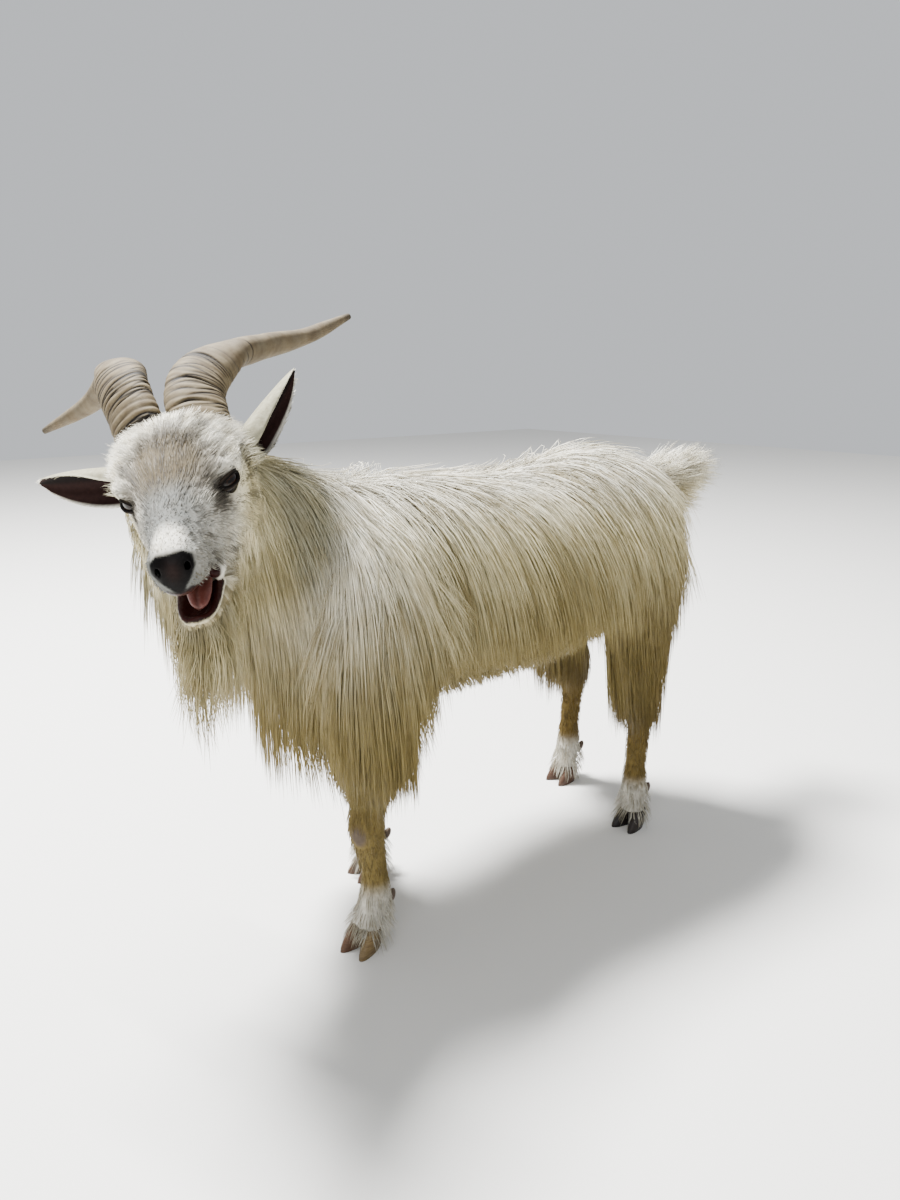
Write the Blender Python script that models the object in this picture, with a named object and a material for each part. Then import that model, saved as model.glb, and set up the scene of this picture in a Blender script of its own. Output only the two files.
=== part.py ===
"""A long-coated pygmy goat, standing with its head turned to its left, as a still life-size model.

Metres, +Z up, floor at z = 0. The goat faces -X and its left side is -Y. Body stations and limb points are in this
frame. The head, jaw, ears, eyes and horns are drawn in the head's own frame, which has its origin midway between
the eyes, +X towards the nose, +Y to the goat's left and +Z to the top of the skull. At the end the whole model is
moved so that the middle of its bounding box stands over the origin.
"""

import math
import random
from collections import namedtuple

import bmesh
import bpy
import numpy as np
from mathutils import Euler, Matrix, Vector
from mathutils.bvhtree import BVHTree

SEED = 3
GAP = 0.0003
CORE_GAP = 0.0005
# A surface is moved outwards in this many rounds, and no corner of it by more than this many times the gap.
STEP_ROUNDS, LONGEST_STEP = 30, 6.0
LEFT, RIGHT = -1, 1
SIDE_WORDS = {LEFT: "left", RIGHT: "right"}
DOWN = Vector((0, 0, -1))

# The head's place, and how it is turned from looking straight ahead.
HEAD_AT = (-0.399, -0.062, 0.538)
HEAD_YAW = math.radians(57.9)
HEAD_PITCH = math.radians(8.2)
HEAD_ROLL = math.radians(13.5)
HEAD = (
    Matrix.Translation(HEAD_AT)
    @ Matrix.Rotation(math.pi + HEAD_YAW, 4, "Z")
    @ Matrix.Rotation(HEAD_PITCH, 4, "Y")
    @ Matrix.Rotation(HEAD_ROLL, 4, "X")
)

# Torso stations from the breast to the pin bones: x, top, height of the widest line, bottom, half-width.
TORSO = (
    (-0.292, 0.425, 0.375, 0.330, 0.040),
    (-0.275, 0.468, 0.380, 0.300, 0.064),
    (-0.245, 0.500, 0.385, 0.283, 0.083),
    (-0.200, 0.520, 0.385, 0.272, 0.096),
    (-0.130, 0.526, 0.385, 0.268, 0.106),
    (-0.050, 0.517, 0.385, 0.268, 0.117),
    (0.030, 0.516, 0.385, 0.270, 0.123),
    (0.110, 0.526, 0.392, 0.276, 0.121),
    (0.180, 0.533, 0.400, 0.295, 0.112),
    (0.240, 0.528, 0.415, 0.330, 0.103),
    (0.285, 0.510, 0.420, 0.350, 0.088),
    (0.318, 0.480, 0.425, 0.375, 0.062),
)

# Limb points: x, distance from the midline, z, half-width across, half-depth fore and aft.
NECK = (
    (-0.195, 0.000, 0.425, 0.075, 0.098),
    (-0.245, 0.002, 0.452, 0.066, 0.088),
    (-0.290, 0.010, 0.480, 0.058, 0.076),
    (-0.325, 0.014, 0.502, 0.052, 0.067),
    (-0.352, 0.008, 0.520, 0.046, 0.058),
    (-0.372, -0.012, 0.530, 0.038, 0.046),
)
TAIL = (
    (0.300, 0.000, 0.470, 0.024, 0.026),
    (0.335, 0.000, 0.482, 0.018, 0.018),
    (0.370, 0.002, 0.492, 0.014, 0.013),
    (0.402, 0.004, 0.499, 0.009, 0.009),
)
SHOULDER = (
    (-0.175, 0.072, 0.455, 0.022, 0.044),
    (-0.200, 0.082, 0.400, 0.032, 0.058),
    (-0.215, 0.084, 0.345, 0.034, 0.052),
    (-0.205, 0.080, 0.290, 0.029, 0.040),
    (-0.208, 0.077, 0.245, 0.024, 0.030),
    (-0.214, 0.073, 0.200, 0.020, 0.023),
)
THIGH = (
    (0.246, 0.066, 0.472, 0.026, 0.046),
    (0.234, 0.078, 0.420, 0.034, 0.062),
    (0.218, 0.084, 0.355, 0.036, 0.058),
    (0.215, 0.084, 0.300, 0.031, 0.047),
    (0.225, 0.082, 0.250, 0.024, 0.034),
    (0.240, 0.080, 0.215, 0.018, 0.025),
)
FORE_SHANK = (
    (-0.214, 0.073, 0.215, 0.019, 0.022),
    (-0.219, 0.071, 0.175, 0.018, 0.020),
    (-0.222, 0.070, 0.148, 0.020, 0.021),
    (-0.218, 0.069, 0.122, 0.016, 0.017),
    (-0.215, 0.068, 0.088, 0.014, 0.0155),
    (-0.216, 0.067, 0.058, 0.018, 0.019),
    (-0.225, 0.067, 0.038, 0.0175, 0.0165),
    (-0.233, 0.067, 0.024, 0.0195, 0.019),
)
HIND_SHANK = (
    (0.237, 0.080, 0.228, 0.018, 0.026),
    (0.245, 0.080, 0.190, 0.018, 0.025),
    (0.241, 0.080, 0.150, 0.016, 0.0180),
    (0.234, 0.080, 0.100, 0.0145, 0.0160),
    (0.231, 0.080, 0.060, 0.018, 0.0190),
    (0.227, 0.080, 0.038, 0.0175, 0.0165),
    (0.222, 0.080, 0.024, 0.0195, 0.0185),
)
FETLOCK, CORONET = -3, -1
# How far each leg's lower joint, and then its foot, stand from that plain stance: x and distance from the midline.
STANCE = {
    ("foreleg", LEFT): ((0.000, 0.000), (0.012, 0.000)),
    ("foreleg", RIGHT): ((0.055, 0.000), (0.104, -0.010)),
    ("hindleg", LEFT): ((-0.010, 0.000), (0.014, -0.002)),
    ("hindleg", RIGHT): ((0.036, 0.006), (0.048, 0.007)),
}
# How far each foot is turned outwards.
FOOT_TURN = {
    ("foreleg", LEFT): math.radians(16),
    ("foreleg", RIGHT): math.radians(6),
    ("hindleg", LEFT): math.radians(5),
    ("hindleg", RIGHT): math.radians(2),
}

# Claw sections: height, how far its middle is set back, half-width, and reach to the front and to the heel.
CLAW = (
    (0.0000, 0.000, 0.0078, 0.0250, 0.0150),
    (0.0060, 0.001, 0.0086, 0.0240, 0.0165),
    (0.0150, 0.003, 0.0086, 0.0195, 0.0165),
    (0.0250, 0.006, 0.0076, 0.0135, 0.0130),
)
CLAW_SIDES, CLAW_APART, CLAW_SPLAY = 9, 0.0100, 0.16
TOE_AHEAD = 0.002
DEWCLAW = (0.0048, 0.0042, 0.0085)
DEWCLAW_BACK, DEWCLAW_APART, DEWCLAW_DROP, DEWCLAW_LEAN = 0.001, 0.0085, 0.006, 0.5

# Head stations in the head's frame: x, top, height of the widest line, bottom, half-width.
SKULL = (
    (-0.088, 0.020, -0.005, -0.044, 0.0430),
    (-0.070, 0.038, -0.004, -0.066, 0.0545),
    (-0.045, 0.051, 0.000, -0.078, 0.0575),
    (-0.020, 0.052, 0.002, -0.080, 0.0555),
    (0.005, 0.045, 0.002, -0.078, 0.0475),
    (0.030, 0.030, -0.004, -0.072, 0.0405),
    (0.050, 0.020, -0.012, -0.066, 0.0340),
    (0.066, 0.0130, -0.020, -0.059, 0.0275),
    (0.084, 0.0065, -0.026, -0.0545, 0.0235),
    (0.102, 0.0005, -0.030, -0.0535, 0.0220),
    (0.116, -0.0055, -0.032, -0.0535, 0.0205),
    (0.126, -0.0130, -0.034, -0.0520, 0.0170),
    (0.1315, -0.0220, -0.036, -0.0480, 0.0105),
)
# Soft swellings and hollows of the head: x, distance from the midline, z, radius, height.
SKULL_FORMS = (
    (0.000, 0.046, 0.016, 0.020, 0.0050),
    (0.034, 0.036, 0.002, 0.018, -0.0030),
    (-0.012, 0.043, -0.042, 0.030, 0.0045),
    (0.119, 0.017, -0.024, 0.010, 0.0035),
    (0.100, 0.020, -0.046, 0.014, 0.0020),
    (-0.040, 0.020, 0.045, 0.020, 0.0040),
)
# The fold of the cheek that closes the corner of the mouth: place beside the midline, and half-sizes.
CHEEK_AT, CHEEK_SIZE = (0.028, 0.012, -0.062), (0.020, 0.011, 0.010)
# How far the muzzle is drawn to the goat's left as it chews, and where along the head that begins and ends.
MUZZLE_BEND, BEND_FROM, BEND_TO = 0.0035, 0.030, 0.120
MANDIBLE = (
    (-0.020, -0.045, -0.058, -0.076, 0.0220),
    (0.020, -0.046, -0.057, -0.071, 0.0235),
    (0.055, -0.049, -0.058, -0.069, 0.0210),
    (0.074, -0.051, -0.059, -0.068, 0.0190),
    (0.087, -0.053, -0.060, -0.067, 0.0150),
    (0.094, -0.055, -0.061, -0.066, 0.0095),
)
TONGUE = (
    (0.025, 0.000, -0.048, 0.0120, 0.0060),
    (0.048, 0.001, -0.048, 0.0125, 0.0060),
    (0.066, 0.003, -0.049, 0.0110, 0.0055),
    (0.080, 0.004, -0.052, 0.0075, 0.0040),
)
BEARD = (
    (-0.045, 0.000, -0.078, 0.026, 0.014),
    (-0.010, 0.000, -0.090, 0.026, 0.022),
    (0.030, 0.000, -0.094, 0.021, 0.028),
    (0.068, 0.000, -0.086, 0.015, 0.020),
    (0.090, 0.000, -0.076, 0.010, 0.010),
)
JAW_HINGE = (-0.045, 0.0, -0.030)
JAW_OPEN = math.radians(13.5)
JAW_SWING = math.radians(-2.0)
JAW = (
    Matrix.Translation(JAW_HINGE)
    @ Matrix.Rotation(JAW_SWING, 4, "Z")
    @ Matrix.Rotation(JAW_OPEN, 4, "Y")
    @ Matrix.Translation([-value for value in JAW_HINGE])
)
NOSTRIL = (0.1225, 0.0125, -0.0270)
NOSTRIL_SIZE = (0.0100, 0.0036, 0.0068)

EYE_AT = (0.0085, 0.0400, 0.001)
EYE_RADIUS = 0.0140
EYE_LOOK = (0.66, 0.74, 0.12)
LID_LONG, LID_HIGH, LID_THICK = 0.0122, 0.0082, 0.0028
LID_TILT = math.radians(-24)

# Each ear: root and tip in the head's frame, and the way its cup faces.
EARS = {
    LEFT: ((-0.064, 0.048, 0.008), (-0.132, 0.122, 0.054), (0.05, 0.96, -0.22)),
    RIGHT: ((-0.064, -0.048, 0.006), (-0.104, -0.156, 0.010), (0.84, -0.29, -0.42)),
}
EAR_THICK = 0.0026
# Ear stations: share of the length, arc radius, half-angle of the cup in degrees.
EAR_FORM = (
    (0.00, 0.0135, 145),
    (0.16, 0.0180, 120),
    (0.34, 0.0212, 98),
    (0.54, 0.0215, 84),
    (0.74, 0.0185, 74),
    (0.90, 0.0125, 62),
    (1.00, 0.0035, 50),
)

# Each horn's centre line in the head's frame. The two differ a little, as on most old males.
HORNS = {
    LEFT: (
        (-0.045, 0.027, 0.030),
        (-0.090, 0.024, 0.068),
        (-0.137, 0.048, 0.084),
        (-0.184, 0.084, 0.082),
        (-0.231, 0.130, 0.077),
        (-0.279, 0.181, 0.082),
    ),
    RIGHT: (
        (-0.045, -0.027, 0.030),
        (-0.095, -0.041, 0.080),
        (-0.145, -0.053, 0.093),
        (-0.192, -0.076, 0.082),
        (-0.235, -0.119, 0.060),
        (-0.273, -0.185, 0.040),
    ),
}
HORN_BROAD, HORN_NARROW = 0.0290, 0.0180
# The horn's broad and narrow sizes at even steps from base to tip, as shares of those at its base.
HORN_BROAD_TAPER = (1.00, 0.99, 0.93, 0.73, 0.52, 0.37, 0.27, 0.12)
HORN_NARROW_TAPER = (1.00, 0.99, 0.95, 0.83, 0.69, 0.54, 0.40, 0.18)
HORN_KEEL_TURN = math.radians(-50)
HORN_RINGS, HORN_SIDES = 24, 9
HORN_RING_DEPTH = 0.0011

CREAM = (0.80, 0.74, 0.62)
TAN = (0.55, 0.42, 0.26)
HORN_BROWN = (0.42, 0.34, 0.26)
HOOF_BROWN = (0.28, 0.20, 0.13)
FLESH = (0.33, 0.15, 0.13)
EYE_AMBER = (0.16, 0.09, 0.04)

# A lock: steps along it, how deep its root is sunk in the core, its thickness as a share of its width, and the
# share of the full width at its root, at each step and just before its tip.
LOCK_STEPS = 4
ROOT_DEPTH = 0.008
LOCK_THICK = 0.13
LOCK_TAPER = (0.72, 1.00, 0.98, 0.70)
# A lock rises from root to tip by these shares of its row's lift, over the roots of the row below it.
ROOT_LIFT, TIP_LIFT = 0.6, 1.4
# Neighbours in a row lie at two heights, so that they overlap without crossing.
OVER, UNDER = 1.4, 0.8
# How much a lock keeps to one plane, and the sharpest bend that it may have.
STEADY, SHARPEST_TURN = 1.5, math.radians(60)
# How near the skin a lock must be to follow it, and how often a point of it is pushed out of the skins.
NEAR_SKIN = 0.05
PUSHES = 3

# Rows of locks. Each row's roots are spread from start to end, as seen along aim, on the node's own surface. The
# rows are written for the goat's left, with y as the distance from the midline, and are mirrored for the right.
# fall is how strongly the locks turn down at each step.
Row = namedtuple("Row", "start end aim count lie length width lift fall", defaults=(0.25,))
TOP, SIDE, FRONT, BACK = (0, 0, -1), (0, -1, 0), (1, 0, 0), (-1, 0, 0)
TORSO_ROWS = (
    Row((-0.205, -0.006, 0.65), (0.275, -0.006, 0.65), TOP, 10, (0.40, 1.0, 0.0), 0.150, 0.050, 0.009),
    Row((-0.190, 0.300, 0.445), (0.285, 0.300, 0.450), SIDE, 9, (0.25, 0.1, -1.0), 0.140, 0.050, 0.006),
    Row((-0.125, 0.300, 0.345), (0.150, 0.300, 0.350), SIDE, 5, (0.15, 0.0, -1.0), 0.080, 0.054, 0.003),
    Row((0.500, 0.020, 0.465), (0.500, 0.075, 0.455), BACK, 2, (0.05, 0.0, -1.0), 0.135, 0.036, 0.006),
    Row((-0.500, 0.006, 0.400), (-0.500, 0.064, 0.390), FRONT, 2, (-0.15, 0.0, -1.0), 0.130, 0.040, 0.008),
    Row((-0.500, 0.006, 0.335), (-0.500, 0.058, 0.335), FRONT, 2, (0.10, 0.0, -1.0), 0.110, 0.036, 0.004),
)
NECK_ROWS = (
    Row((-0.345, 0.000, 0.70), (-0.220, -0.004, 0.70), TOP, 3, (0.45, 1.0, 0.0), 0.135, 0.052, 0.008),
    Row((-0.340, 0.300, 0.515), (-0.225, 0.300, 0.495), SIDE, 3, (0.22, 0.1, -1.0), 0.140, 0.044, 0.008),
    Row((-0.330, 0.300, 0.455), (-0.245, 0.300, 0.430), SIDE, 3, (0.10, 0.0, -1.0), 0.140, 0.034, 0.006),
    Row((-0.500, 0.004, 0.490), (-0.500, 0.052, 0.490), FRONT, 2, (-0.20, 0.0, -1.0), 0.150, 0.028, 0.006),
    Row((-0.500, 0.004, 0.430), (-0.500, 0.056, 0.430), FRONT, 2, (-0.10, 0.0, -1.0), 0.130, 0.028, 0.005),
)
SHOULDER_ROWS = (
    Row((-0.250, 0.300, 0.440), (-0.150, 0.300, 0.450), SIDE, 3, (0.05, 0.0, -1.0), 0.165, 0.042, 0.007),
    Row((-0.252, 0.300, 0.330), (-0.165, 0.300, 0.330), SIDE, 4, (0.05, 0.0, -1.0), 0.150, 0.032, 0.007),
    Row((-0.500, 0.070, 0.330), (-0.500, 0.100, 0.300), FRONT, 2, (-0.15, 0.0, -1.0), 0.130, 0.028, 0.006),
    Row((0.000, 0.070, 0.330), (0.000, 0.095, 0.280), BACK, 2, (0.35, 0.0, -1.0), 0.120, 0.028, 0.006),
)
THIGH_ROWS = (
    Row((0.195, 0.300, 0.455), (0.280, 0.300, 0.455), SIDE, 2, (0.02, 0.0, -1.0), 0.165, 0.046, 0.006),
    Row((0.172, 0.300, 0.340), (0.258, 0.300, 0.345), SIDE, 3, (0.05, 0.0, -1.0), 0.145, 0.036, 0.006),
    Row((0.600, 0.066, 0.400), (0.600, 0.100, 0.350), BACK, 2, (0.10, 0.0, -1.0), 0.145, 0.032, 0.006),
    Row((0.600, 0.068, 0.300), (0.600, 0.095, 0.250), BACK, 2, (0.08, 0.0, -1.0), 0.130, 0.028, 0.006),
    Row((0.000, 0.075, 0.280), (0.000, 0.095, 0.250), FRONT, 1, (-0.05, 0.0, -1.0), 0.090, 0.024, 0.004),
)
SHANK_ROWS = {
    "foreleg": (
        Row((0.000, 0.062, 0.165), (0.000, 0.078, 0.165), BACK, 1, (0.10, 0.0, -1.0), 0.055, 0.018, 0.003),
        Row((0.000, 0.060, 0.078), (0.000, 0.080, 0.078), BACK, 2, (0.50, 0.0, -1.0), 0.032, 0.015, 0.003),
    ),
    "hindleg": (
        Row((0.600, 0.072, 0.185), (0.600, 0.088, 0.185), BACK, 1, (0.10, 0.0, -1.0), 0.075, 0.020, 0.004),
        Row((0.600, 0.072, 0.078), (0.600, 0.090, 0.078), BACK, 2, (0.50, 0.0, -1.0), 0.032, 0.015, 0.003),
    ),
}
TAIL_ROWS = (
    Row((0.335, 0.004, 0.70), (0.405, 0.004, 0.70), TOP, 2, (1.0, 0.25, 0.25), 0.095, 0.022, 0.004, 0.0),
    Row((0.325, 0.300, 0.482), (0.405, 0.300, 0.497), SIDE, 3, (1.0, 0.40, -0.20), 0.095, 0.022, 0.004, 0.05),
)
# Rows on the head and the beard's core are in the head's own frame.
HEAD_ROWS = (
    Row((0.010, -0.004, 0.20), (-0.014, 0.044, 0.20), TOP, 3, (-0.90, 0.35, 0.45), 0.034, 0.034, 0.001, 0.0),
    Row((-0.072, 0.000, 0.20), (-0.078, 0.036, 0.20), TOP, 2, (-0.8, 0.3, 0.6), 0.048, 0.026, 0.003, 0.1),
    Row((-0.074, 0.300, -0.004), (-0.034, 0.300, -0.040), SIDE, 2, (-0.25, 0.0, -1.0), 0.125, 0.040, 0.005),
    Row((-0.054, 0.300, -0.062), (0.004, 0.300, -0.060), SIDE, 2, (-0.10, 0.0, -1.0), 0.130, 0.032, 0.005),
)
BEARD_ROWS = (
    Row((0.086, 0.300, -0.092), (0.004, 0.300, -0.100), SIDE, 4, (0.25, 0.15, -1.0), 0.145, 0.023, 0.003, 0.1),
)


def material(name, colour, roughness):
    """A Principled material of one colour."""
    made = bpy.data.materials.new(name)
    made.use_nodes = True
    shader = made.node_tree.nodes["Principled BSDF"]
    shader.inputs["Base Color"].default_value = (*colour, 1.0)
    shader.inputs["Roughness"].default_value = roughness
    shader.inputs["Metallic"].default_value = 0.0
    return made


def closed_mesh(name, points, faces):
    """A new mesh of triangles, turned outwards."""
    mesh = bpy.data.meshes.new(name)
    mesh.from_pydata([tuple(p) for p in points], [], faces)
    shape = bmesh.new()
    shape.from_mesh(mesh)
    bmesh.ops.recalc_face_normals(shape, faces=shape.faces)
    bmesh.ops.triangulate(shape, faces=shape.faces)
    shape.to_mesh(mesh)
    shape.free()
    return mesh


def mesh_object(name, points, faces):
    """A new object with this closed mesh."""
    made = bpy.data.objects.new(name, closed_mesh(name, points, faces))
    bpy.context.scene.collection.objects.link(made)
    return made


def resample(rows, count):
    """A smooth Catmull-Rom curve through the rows, read at count even steps along it."""
    rows = np.array(rows, float)
    padded = np.vstack([2 * rows[0] - rows[1], rows, 2 * rows[-1] - rows[-2]])
    steps = np.linalg.norm(np.diff(rows[:, :3], axis=0), axis=1)
    along = np.concatenate([[0], np.cumsum(steps)])
    out = []
    for place in np.linspace(0, along[-1], count):
        i = min(int(np.searchsorted(along, place, side="right")) - 1, len(rows) - 2)
        t = (place - along[i]) / steps[i]
        a, b, c, d = padded[i : i + 4]
        out.append(0.5 * (2 * b + (c - a) * t + (2 * a - 5 * b + 4 * c - d) * t**2 + (3 * b - a - 3 * c + d) * t**3))
    return np.array(out)


def ring(centre, right, up, half_width, rise, drop, sides):
    """Points round one station: an ellipse whose upper and lower halves may differ in height."""
    angles = 2 * math.pi * (np.arange(sides) + 0.5) / sides
    across, along = np.cos(angles), np.sin(angles)
    height = np.where(along > 0, rise, drop) * along
    return centre + np.outer(half_width * across, right) + np.outer(height, up)


def skin_rings(rings, bulges):
    """Points and faces of a closed tube through the rings, with a rounded cap on each end."""
    points, faces, sides = [], [], len(rings[0])
    first, last = rings[0], rings[-1]
    outward = (
        first.mean(0) - rings[1].mean(0),
        last.mean(0) - rings[-2].mean(0),
    )
    tips = [
        end.mean(0) + way / np.linalg.norm(way) * bulge
        for end, way, bulge in zip((first, last), outward, bulges)
    ]
    for one in rings:
        points.extend(one)
    for i in range(len(rings) - 1):
        for j in range(sides):
            k = (j + 1) % sides
            faces.append((i * sides + j, i * sides + k, (i + 1) * sides + k, (i + 1) * sides + j))
    points.extend(tips)
    end = (len(rings) - 1) * sides
    for j in range(sides):
        k = (j + 1) % sides
        faces.append((k, j, len(points) - 2))
        faces.append((end + j, end + k, len(points) - 1))
    return np.array(points), faces


def station_rings(stations, count, sides):
    """Upright rings through stations of x, top, widest, bottom and half-width."""
    rows = [(x, 0, widest, top - widest, widest - bottom, wide) for x, top, widest, bottom, wide in stations]
    right, up = np.array((0, 1, 0)), np.array((0, 0, 1))
    return [ring(row[:3], right, up, row[5], row[3], row[4], sides) for row in resample(rows, count)]


def limb_rings(points, side, count, sides):
    """Rings square to a limb's own line. side mirrors the limb to the goat's left or right."""
    rows = resample([(x, side * y, z, wide, deep) for x, y, z, wide, deep in points], count)
    ways = np.gradient(rows[:, :3], axis=0)
    rings = []
    for row, way in zip(rows, ways):
        way = way / np.linalg.norm(way)
        front = np.cross((0, 1, 0), way)
        front /= np.linalg.norm(front)
        rings.append(ring(row[:3], np.cross(way, front), front, row[3], row[4], row[4], sides))
    return rings


def swell(points, faces, forms):
    """Points moved along their normals by smooth bumps, the same on both sides of the midline."""
    corner = np.array([face[:3] for face in faces])
    flat = np.cross(points[corner[:, 1]] - points[corner[:, 0]], points[corner[:, 2]] - points[corner[:, 0]])
    normals = np.zeros_like(points)
    for k in range(3):
        np.add.at(normals, corner[:, k], flat)
    normals /= np.linalg.norm(normals, axis=1)[:, None]
    middle = points.mean(0)
    normals *= np.sign(((points - middle) * normals).sum())
    height = np.zeros(len(points))
    for x, y, z, radius, amount in forms:
        for side in (LEFT, RIGHT):
            reach = np.linalg.norm(points - (x, side * y, z), axis=1) / radius
            height += amount * np.exp(-(reach**2))
    return points + normals * height[:, None]


def moved(points, matrix):
    """Points carried by a matrix."""
    turn = np.array(matrix)
    return points @ turn[:3, :3].T + turn[:3, 3]


def evaluated(thing):
    """Applies the object's modifiers."""
    bpy.context.view_layer.update()
    graph = bpy.context.evaluated_depsgraph_get()
    made = bpy.data.meshes.new_from_object(thing.evaluated_get(graph))
    thing.modifiers.clear()
    thing.data = made


def closed_surfaces(shape):
    """The faces of each closed surface, which join only over edges that two faces share."""
    left, groups = set(shape.faces), []
    while left:
        stack = [left.pop()]
        group = set(stack)
        while stack:
            for edge in stack.pop().edges:
                if len(edge.link_faces) != 2:
                    continue
                for other in edge.link_faces:
                    if other in left:
                        left.discard(other)
                        group.add(other)
                        stack.append(other)
        groups.append(group)
    return groups


def keep_largest(thing):
    """Triangulates the object and drops every closed surface but the one with most area."""
    shape = bmesh.new()
    shape.from_mesh(thing.data)
    bmesh.ops.triangulate(shape, faces=shape.faces)
    groups = closed_surfaces(shape)
    groups.sort(key=lambda group: sum(face.calc_area() for face in group))
    for group in groups[:-1]:
        bmesh.ops.delete(shape, geom=list(group), context="FACES")
    shape.to_mesh(thing.data)
    shape.free()


def combine(thing, operation, meshes):
    """One Boolean of the object with all these meshes, applied."""
    others = bpy.data.collections.new("operands")
    bpy.context.scene.collection.children.link(others)
    for mesh in meshes:
        others.objects.link(bpy.data.objects.new("operand", mesh))
    step = thing.modifiers.new("combine", "BOOLEAN")
    step.operation = operation
    step.operand_type = "COLLECTION"
    step.collection = others
    step.solver = "MANIFOLD"
    evaluated(thing)
    for other in list(others.objects):
        bpy.data.objects.remove(other)
    bpy.data.collections.remove(others)


def named(thing, name, look):
    """The object with its name and material."""
    thing.name = name
    thing.data.materials.clear()
    thing.data.materials.append(look)
    return thing


def step_out(vertex, gap):
    """The move that takes a vertex the gap outwards from every face round it, kept short at sharp edges."""
    move = Vector()
    for _ in range(STEP_ROUNDS):
        for face in vertex.link_faces:
            short = gap - face.normal.dot(move)
            if short > 0:
                move += face.normal * short
    if move.length > LONGEST_STEP * gap:
        move.length = LONGEST_STEP * gap
    return move


def grown(mesh, gap):
    """A copy of the mesh with its surface moved outwards by the gap."""
    shape = bmesh.new()
    shape.from_mesh(mesh)
    moves = [step_out(vertex, gap) for vertex in shape.verts]
    for vertex, move in zip(shape.verts, moves):
        vertex.co += move
    larger = bpy.data.meshes.new("grown")
    shape.to_mesh(larger)
    shape.free()
    return larger


def clear_of(thing, others, gap=GAP):
    """Cuts the object back so that it keeps the gap to each of the other meshes, and keeps its largest piece."""
    combine(thing, "DIFFERENCE", [grown(other, gap) for other in others])
    keep_largest(thing)


def surface(thing):
    """A search tree over the object's surface."""
    points = [vertex.co.copy() for vertex in thing.data.vertices]
    return BVHTree.FromPolygons(points, [list(face.vertices) for face in thing.data.polygons])


def stood_off(skins, point, rest):
    """The point moved out until it stands the rest height off the skins near it, and the outward way, if any."""
    way = None
    for _ in range(PUSHES):
        nearest = []
        for number, skin in enumerate(skins):
            near, normal, _, far = skin.find_nearest(point)
            if far < NEAR_SKIN:
                nearest.append((far if (point - near).dot(normal) > 0 else -far, number, normal))
        if not nearest:
            return point, way
        height, _, way = min(nearest)
        if height >= rest:
            return point, way
        point = point + way * (rest - height)
    return point, way


def drape(skins, root, normal, lie, row, length):
    """The line of a lock laid over the skins: its points and the outward way at each, from sunk root to tip."""
    step = length / LOCK_STEPS
    points, outward = [root - normal * ROOT_DEPTH], [normal]
    heading = (lie - normal * min(0.0, lie.dot(normal))).normalized()
    point = root + normal * row.lift * ROOT_LIFT
    for i in range(1, LOCK_STEPS + 1):
        heading = (heading + DOWN * row.fall).normalized()
        rest = row.lift * (ROOT_LIFT + (TIP_LIFT - ROOT_LIFT) * i / LOCK_STEPS)
        moved_on, way = stood_off(skins, point + heading * step, rest)
        heading = (moved_on - point).normalized()
        point = moved_on
        points.append(point)
        turned = outward[-1] + way if way and way.dot(outward[-1]) > 0 else outward[-1]
        outward.append(turned.normalized())
    return points, outward


def folded(points):
    """Whether the line turns back sharply anywhere."""
    steps = [b - a for a, b in zip(points, points[1:])]
    return any(a.angle(b) > SHARPEST_TURN for a, b in zip(steps, steps[1:]))


def lock(points, outward, width):
    """A flat tapered lock with a raised middle, along a draped line."""
    rings = []
    aheads = [(points[i + 1] - points[max(i - 1, 0)]).normalized() for i in range(len(LOCK_TAPER))]
    wanted = [ahead.cross(out) for ahead, out in zip(aheads, outward)]
    mean = sum(wanted, Vector()).normalized()
    for i, (share, ahead) in enumerate(zip(LOCK_TAPER, aheads)):
        across = wanted[i] + mean * STEADY
        across = (across - ahead * across.dot(ahead)).normalized()
        out = across.cross(ahead)
        half = width * share / 2
        crest = points[i] + out * width * LOCK_THICK
        rings.append([points[i] - across * half, crest, points[i] + across * half])
    corners = [corner for one in rings for corner in one] + [points[-1]]
    faces = [(2, 1, 0)]
    for i in range(len(rings) - 1):
        for j in range(3):
            k = (j + 1) % 3
            faces.append((3 * i + j, 3 * i + k, 3 * i + 3 + k))
            faces.append((3 * i + j, 3 * i + 3 + k, 3 * i + 3 + j))
    end = 3 * (len(rings) - 1)
    faces += [(end + j, end + (j + 1) % 3, len(corners) - 1) for j in range(3)]
    return closed_mesh("lock", corners, faces)


def mirrored(row, side):
    """The row on the given side of the goat, whose left is -Y."""
    flip = [(x, side * y, z) for x, y, z in (row.start, row.end, row.aim, row.lie)]
    return row._replace(start=flip[0], end=flip[1], aim=flip[2], lie=flip[3])


def row_of_locks(own, skins, row, draw, frame=None):
    """The locks of one row, rooted on the node's own surface and laid over all the skins."""
    frame = frame or Matrix.Identity(4)
    start, end = frame @ Vector(row.start), frame @ Vector(row.end)
    turn = frame.to_3x3()
    aim, lie = (turn @ Vector(row.aim)).normalized(), (turn @ Vector(row.lie)).normalized()
    made = []
    for i in range(row.count):
        share = (i + 0.5 + draw.uniform(-0.12, 0.12)) / row.count
        root, normal, _, _ = own.ray_cast(start.lerp(end, share), aim)
        if root is None:
            continue
        sway = Vector((draw.uniform(-0.08, 0.08), draw.uniform(-0.08, 0.08), 0))
        layer = row._replace(lift=row.lift * (OVER if i % 2 else UNDER))
        line = drape(skins, root, normal, lie + sway, layer, row.length * draw.uniform(0.88, 1.12))
        width = row.width * draw.uniform(0.85, 1.15)
        if not folded(line[0]):
            made.append(lock(*line, width))
    return made


def locks_of(node, skins, rows, sides, draw, frame=None):
    """The locks of one node. Rows are mirrored for each of the sides."""
    own = surface(node)
    return [
        piece
        for row in rows
        for side in sides
        for piece in row_of_locks(own, skins, mirrored(row, side), draw, frame)
    ]


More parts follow.
